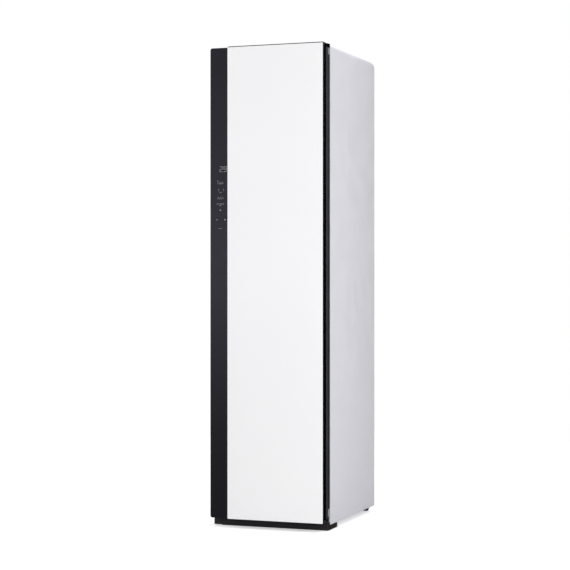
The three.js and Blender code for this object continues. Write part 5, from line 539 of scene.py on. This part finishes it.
def display():
    """Two digits, a column of icons and three dots, lit on the dark strip."""
    digits = Form()
    digit(digits, "abged", -0.1960)
    digit(digits, "abcdfg", -0.1795)
    digits.piece("display_digits", "lit_digits", "door")

    x = -0.1930
    icons = Form()

    # An iron on its sole.
    iron = [(-0.0120, 0.0090), (-0.0105, -0.0060), (0.0115, -0.0060), (0.0115, 0.0010),
            (-0.0050, 0.0010)]
    flat_stroke(icons, [(x + a, 1.3290 + b) for a, b in iron], 0.65 * MM, closed=True)
    flat_stroke(icons, [(x - 0.0070, 1.3255), (x + 0.0095, 1.3255)], 1.0 * MM)

    # A bowl between two marks.
    for side in (-1, 1):
        flat_stroke(icons, arc((x + side * 0.0100, 1.3000), 0.0045, -70, 70), 1.0 * MM)
    flat_stroke(icons, arc((x, 1.2950), 0.0060, 215, 325), 1.1 * MM)

    # Three puffs of steam.
    puff = [(-0.0034, -0.0045), (0.0, 0.0050), (0.0034, -0.0045)]
    for offset in (-0.0090, 0.0, 0.0090):
        flat_stroke(icons, [(x + offset + a, 1.2685 + b) for a, b in puff], 0.8 * MM)

    # A row of dashes over an arc, and a bar further down.
    for offset in (-0.0130, -0.0065, 0.0, 0.0065, 0.0130):
        dash = [(x + offset - 0.0014, 1.2460), (x + offset + 0.0014, 1.2460)]
        flat_stroke(icons, dash, 2.2 * MM)
    flat_stroke(icons, arc((x, 1.2420), 0.0034, 200, 340), 1.4 * MM)
    flat_stroke(icons, [(x - 0.0080, 1.1510), (x + 0.0080, 1.1510)], 0.8 * MM)
    icons.piece("display_icons", "dim_icons", "door")

    dots = Form()
    places = ((-0.1930, 1.2216, 2.2), (-0.2073, 1.1850, 1.9), (-0.1739, 1.1850, 2.3))
    for dot_x, z, radius in places:
        dome = [(radius * MM, -LINE_IN), (radius * MM, 0.12 * MM), (radius * 0.8 * MM, 0.2 * MM)]
        dots.turn(dome, (dot_x, STRIP_FRONT, z), (0, -1, 0))
    dots.piece("display_dots", "lit_dots", "door")


display()


def door_gasket():
    """The magnetic gasket: a dart in the door's groove, a folded bellows and a magnet's sleeve."""
    half = [(2.2, -271.0), (3.0, -268.6), (1.7, -266.6), (6.4, -265.6), (6.8, -264.4),
            (4.0, -263.2), (6.7, -260.6), (3.3, -258.0), (6.8, -255.2), (4.4, -252.6),
            (7.2, -251.2), (7.5, -250.6), (7.5, -244.4), (6.6, -243.4)]
    bellows = half + [(-n, y) for n, y in reversed(half)]
    skirt = [(0.0, -265.7), (0.0, -246.4), (-0.5, -245.8), (-1.5, -245.8), (-2.0, -246.4),
             (-2.0, -263.0), (-2.7, -263.7), (-13.4, -263.7), (-13.4, -265.7)]
    seal_line = rounded_ring(0.2145, 0.0905, 1.8025, 0.020)
    door_edge = rounded_ring(0.2346, 0.0830, 1.8100, 0.0015, 2)
    form = Form().loft(swept(seal_line, bellows), closed=True)
    form.loft(swept(door_edge, skirt), closed=True)
    gasket = form.piece("door_gasket_bellows", "rubber", "door")
    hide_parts("door_gasket")


door_gasket()


def evaluated_mesh(obj):
    """A copy of the mesh as its modifiers leave it."""
    now = bpy.context.evaluated_depsgraph_get()
    return bpy.data.meshes.new_from_object(obj.evaluated_get(now))


def stuffed(obj, held, voxel, cap, steps=20):
    """Fills a pad by cloth simulation: held points stay, and none moves further than the cap."""
    remesh = obj.modifiers.new("remesh", "REMESH")
    remesh.mode = "VOXEL"
    remesh.voxel_size = voxel
    obj.data = evaluated_mesh(obj)
    obj.modifiers.clear()
    before = [vertex.co.copy() for vertex in obj.data.vertices]
    fixed = [i for i, point in enumerate(before) if held(point)]
    obj.vertex_groups.new(name="held").add(fixed, 1.0, "REPLACE")
    cloth = obj.modifiers.new("cloth", "CLOTH").settings
    cloth.use_pressure = True
    cloth.uniform_pressure_force = 4
    cloth.effector_weights.gravity = 0
    cloth.vertex_group_mass = "held"
    for step in range(1, steps + 1):
        bpy.context.scene.frame_set(step)
    obj.data = evaluated_mesh(obj)
    obj.modifiers.clear()
    bpy.context.scene.frame_set(1)
    for vertex, start in zip(obj.data.vertices, before):
        moved = vertex.co - start
        if moved.length > cap:
            vertex.co = start + moved.normalized() * cap


def press_pad():
    """The press's quilted pad, stuffed and stitched down in rows, and its hinge lugs."""
    left, right, back, face, low, high = -0.145, 0.169, -0.2657, -0.2583, 0.720, 1.480
    corner, panels = 0.012, 8
    rows = [low + (high - low) * k / panels for k in range(1, panels)]
    levels = [(back, 0.0024), (back + 0.0012, 0.0016), (face - 0.0022, 0.0016), (face, 0.0042)]
    rings = raised_panel((left + right) / 2, (right - left) / 2, low, high, corner, levels)
    pad = Form().loft(rings).piece("press_pad_cloth", "pad_cloth", "door")
    pad.modifiers.clear()

    def off_seam(point):
        return min(abs(point.z - row) for row in rows)

    def held(point):
        """True where the pad is glued to the door or stitched down."""
        return point.y < back + 0.0018 or off_seam(point) < 0.0030

    stuffed(pad, held, voxel=0.005, cap=0.0014)
    furrow_depth, furrow_width = 0.0016, 0.0035
    for vertex in pad.data.vertices:
        if vertex.co.y > face - 0.0030:
            vertex.co.y -= furrow_depth * math.exp(-(off_seam(vertex.co) / furrow_width) ** 2)
    for polygon in pad.data.polygons:
        polygon.use_smooth = True
    pad.data.materials.clear()
    pad.data.materials.append(finishes["pad_cloth"])
    fuller = pad.modifiers.new("fuller", "SUBSURF")
    fuller.levels = fuller.render_levels = 1
    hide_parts("press_pad")

    thread = Form()
    sunk, shown, spacing = face - 0.0010, face - 0.0002, 0.0064
    for row in rows:
        for k in range(46):
            x = left + 0.010 + k * spacing
            stitch = [(x, sunk, row), (x + 0.0010, shown, row), (x + 0.0030, shown, row),
                      (x + 0.0040, sunk, row)]
            thread.tube(stitch, 0.3 * MM, 5)
    thread.piece("press_pad_stitches", "pad_thread", "door", slot="pad_cloth")

    lugs = Form()
    bore, outer, length = 0.0033, 0.0055, 0.0115
    for z in (0.7775, 1.1115, 1.4455):
        lugs.turn([(bore, 0), (outer, 0), (outer, length), (bore, length)],
                  (-0.151, -0.2544, z), (0, 0, 1))
    lugs.piece("press_hinge_lugs", "grey_plastic", "door")


press_pad()


# ---- Cabinet: screws, plinth seam and chamber wall ----

def rear_screws():
    form = Form()
    places = [(x, z) for x in (-0.224, 0.224) for z in (0.075, 0.36, 0.70, 1.04, 1.38, 1.72, 1.79)]
    for x, z in places + [(-0.12, 1.802), (0.12, 1.802)]:
        screw(form, (x, REAR_SHEET, z), (0, 1, 0), 3.0 * MM, 1.7 * MM)
    form.piece("rear_panel_screws", "steel", "cabinet")


rear_screws()


def hinge_screws():
    form = Form()
    for x in (0.182, 0.206):
        screw(form, (x, HINGE_FLANGE, 0.0440), (0, -1, 0), 3.4 * MM, 2.0 * MM)
    form.piece("bottom_hinge_screws", "steel", "cabinet")


hinge_screws()


def plinth_groove_shade():
    """A soft black bead in the joint between the plinth and its end cover: painted shade that
    stands in for the shadow in the groove.
    """
    x, face, half = -0.19915, -0.2660, 1.1 * MM
    bead = [(x - half, face + 0.001), (x - half * 0.8, face - 0.1 * MM), (x, face - 0.25 * MM),
            (x + half * 0.8, face - 0.1 * MM), (x + half, face + 0.001)]
    form = Form().loft([[(x, y, z) for x, y in bead] for z in (0.0045, 0.0285)])
    form.piece("plinth_shade_bead", "rubber", "cabinet")


plinth_groove_shade()


def wall_ribs():
    """Shallow pressed ribs with rounded ends that stiffen the chamber's back wall."""
    half, low, high, corner = 6.0 * MM, 0.470, 1.580, 5.9 * MM
    levels = [(CHAMBER_BACK + 0.3 * MM, 0.0), (CHAMBER_BACK - 0.4 * MM, 0.0),
              (CHAMBER_BACK - 1.5 * MM, 1.4 * MM)]
    form = Form()
    for x in (-0.120, -0.072, -0.024, 0.024, 0.072, 0.120):
        form.loft(raised_panel(x, half, low, high, corner, levels))
    form.piece("chamber_wall_ribs", "chamber_plastic", "cabinet")


wall_ribs()


# ---- Lint filter and water tanks ----

def filter_mesh():
    """Woven wire inside the lint filter, behind the windows of its top and of its long sides."""
    form = Form()
    left, right, front, back, low, high = -0.1121, 0.0321, -0.2258, -0.1742, 0.3195, 0.3407
    pitch, wire, sides = 2.8 * MM, 0.32 * MM, 5

    def steps(start, end):
        count = round((end - start) / pitch)
        return [start + (end - start) * (k + 0.5) / count for k in range(count)]

    for x in steps(left, right):
        hoop = [(x, front, low), (x, front, high), (x, back, high), (x, back, low)]
        form.tube(hoop, wire, sides)
    for y in steps(front, back):
        form.tube([(left, y, high - wire), (right, y, high - wire)], wire, sides)
    for z in steps(low, high):
        for y in (front + wire, back - wire):
            form.tube([(left, y, z), (right, y, z)], wire, sides)
    form.piece("lint_filter_mesh", "mesh_wire", "filter")


filter_mesh()


def tank_marks():
    """Printed level ticks, and a drop: in outline on the clean tank, solid on the drained one."""
    ink_front, ink_back = TANK_FRONT - 0.25 * MM, TANK_FRONT + 0.1 * MM
    for body, middle in (("supply_tank", -0.09735), ("drain_tank", 0.09735)):
        form = Form()
        right = middle + 0.074
        for k in range(7):
            reach = (10.0 if k % 3 == 0 else 6.0) * MM
            z = 0.1260 + 0.0130 * k
            form.box((right - reach, ink_front, z), (right, ink_back, z + 1.2 * MM))
        round_end = arc((0, 0), 0.0085, -215, 35, 18)
        drop = [(middle + x, z + 0.160) for x, z in round_end] + [(middle, 0.1785)]
        if body == "drain_tank":
            form.loft([[(x, y, z) for x, z in drop] for y in (ink_back, ink_front)])
        else:
            form.tube([(x, TANK_FRONT, z) for x, z in drop + drop[:2]], 0.7 * MM, 6)
        form.piece(body + "_marks", "chamber_plastic", body)


tank_marks()


# ---- Studio: floor, light, camera ----

WHITE = (1.0, 1.0, 1.0)


def studio_floor():
    """A white floor that keeps the cabinet's soft shadow, and meets the white backdrop unseen."""
    bpy.ops.mesh.primitive_circle_add(vertices=96, radius=3.4, fill_type="NGON", location=(0, 0, 0))
    floor = bpy.context.object
    floor.name = "studio_floor"
    tree = Finish("studio_floor")
    tree.color((0.90, 0.90, 0.90))
    tree.roughness(0.9)
    tree.set(Specular_IOR_Level=0.0)

    # Seen straight by the camera it glows a little, up to the backdrop's white.
    seen = tree.add("ShaderNodeLightPath").outputs["Is Camera Ray"]
    tree.feed(WHITE, tree.shader.inputs["Emission Color"])
    tree.feed(tree.math("MULTIPLY", seen, 0.47), tree.shader.inputs["Emission Strength"])
    floor.data.materials.append(tree.material)
    floor.visible_glossy = False


studio_floor()


def studio_world():
    """White where the camera looks; elsewhere a soft studio, brightest level with the cabinet."""
    world = bpy.data.worlds.new("studio")
    bpy.context.scene.world = world
    tree = Graph(world)
    ambient = tree.nodes["Background"]
    tree.feed(WHITE, ambient.inputs["Color"])
    tree.feed(0.655, ambient.inputs["Strength"])
    seen = tree.add("ShaderNodeBackground")
    tree.feed(WHITE, seen.inputs["Color"])

    # What glossy faces mirror: a faintly violet wall, shaded by the height of the view.
    mirrored = tree.add("ShaderNodeBackground")
    direction = tree.add("ShaderNodeTexCoord").outputs["Generated"]
    split = tree.add("ShaderNodeSeparateXYZ")
    tree.feed(direction, split.inputs[0])
    ramp = tree.add("ShaderNodeValToRGB")
    tree.feed(tree.spread(split.outputs["Z"], 0.0, 1.0, -0.20, 0.20), ramp.inputs["Fac"])
    stops = [(0.0, 0.20), (0.16, 0.22), (0.27, 0.33), (0.40, 0.62), (0.51, 0.93), (0.72, 0.62),
             (0.82, 0.50), (1.0, 0.44)]
    elements = ramp.color_ramp.elements
    for position, _ in stops[1:-1]:
        elements.new(position)
    for element, (_, value) in zip(elements, stops):
        element.color = (value, value * 0.98, value * 1.22, 1)
    tree.feed(ramp.outputs["Color"], mirrored.inputs["Color"])

    # A black flag behind the cabinet's right side keeps the door's dark edge black. A bright
    # ceiling above the flag draws the highlight along the rounded top edges.
    toward = tree.add("ShaderNodeVectorMath", operation="DOT_PRODUCT")
    tree.feed(direction, toward.inputs[0])
    tree.feed(Vector((0.36, 0.93, 0.0)).normalized(), toward.inputs[1])
    flag = tree.spread(toward.outputs["Value"], 1.0, 0.0, 0.62, 0.86)
    ceiling = tree.spread(split.outputs["Z"], 0.0, 2.2, 0.25, 0.36)
    tree.feed(tree.math("ADD", flag, ceiling), mirrored.inputs["Strength"])

    ray = tree.add("ShaderNodeLightPath").outputs
    glossy = tree.math("MAXIMUM", ray["Is Glossy Ray"], ray["Is Transmission Ray"])
    light = ambient.outputs[0]
    for factor, background in ((glossy, mirrored), (ray["Is Camera Ray"], seen)):
        mix = tree.add("ShaderNodeMixShader")
        for value, socket in zip((factor, light, background.outputs[0]), mix.inputs):
            tree.feed(value, socket)
        light = mix.outputs[0]
    tree.feed(light, tree.nodes["World Output"].inputs["Surface"])


studio_world()


def softbox(name, place, target, width, height, power):
    """A rectangular lamp at a place, turned towards a target, that no mirror or camera sees."""
    data = bpy.data.lights.new(name, "AREA")
    data.shape = "RECTANGLE"
    data.size = width
    data.size_y = height
    data.energy = power
    lamp = bpy.data.objects.new(name, data)
    lamp.location = place
    lamp.rotation_euler = (Vector(target) - Vector(place)).to_track_quat("-Z", "Y").to_euler()
    bpy.context.scene.collection.objects.link(lamp)
    lamp.visible_glossy = False
    lamp.visible_camera = False


softbox("key", (-2.2, -4.6, 2.4), (0, 0, 1.0), width=2.6, height=3.4, power=77)
softbox("side", (1.45, -0.6, 1.00), (0.2, -0.1, 0.90), width=0.5, height=2.5, power=14.8)
softbox("top", (0.38, 0.0, 2.30), (0.235, 0.0, 1.84), width=0.12, height=0.9, power=1.3)


def photo_camera():
    """The level camera that was fitted to the photograph; the shift sets its horizon."""
    data = bpy.data.cameras.new("photo_camera")
    data.sensor_width = 36
    data.lens = 103.66
    data.shift_y = -0.0121
    data.clip_end = 60
    camera = bpy.data.objects.new("photo_camera", data)
    camera.location = (2.238, -6.160, 0.9596)
    camera.rotation_euler = (math.radians(90), 0, math.radians(20.277))
    bpy.context.scene.collection.objects.link(camera)
    bpy.context.scene.camera = camera


photo_camera()

bpy.context.scene.view_settings.view_transform = "Standard"
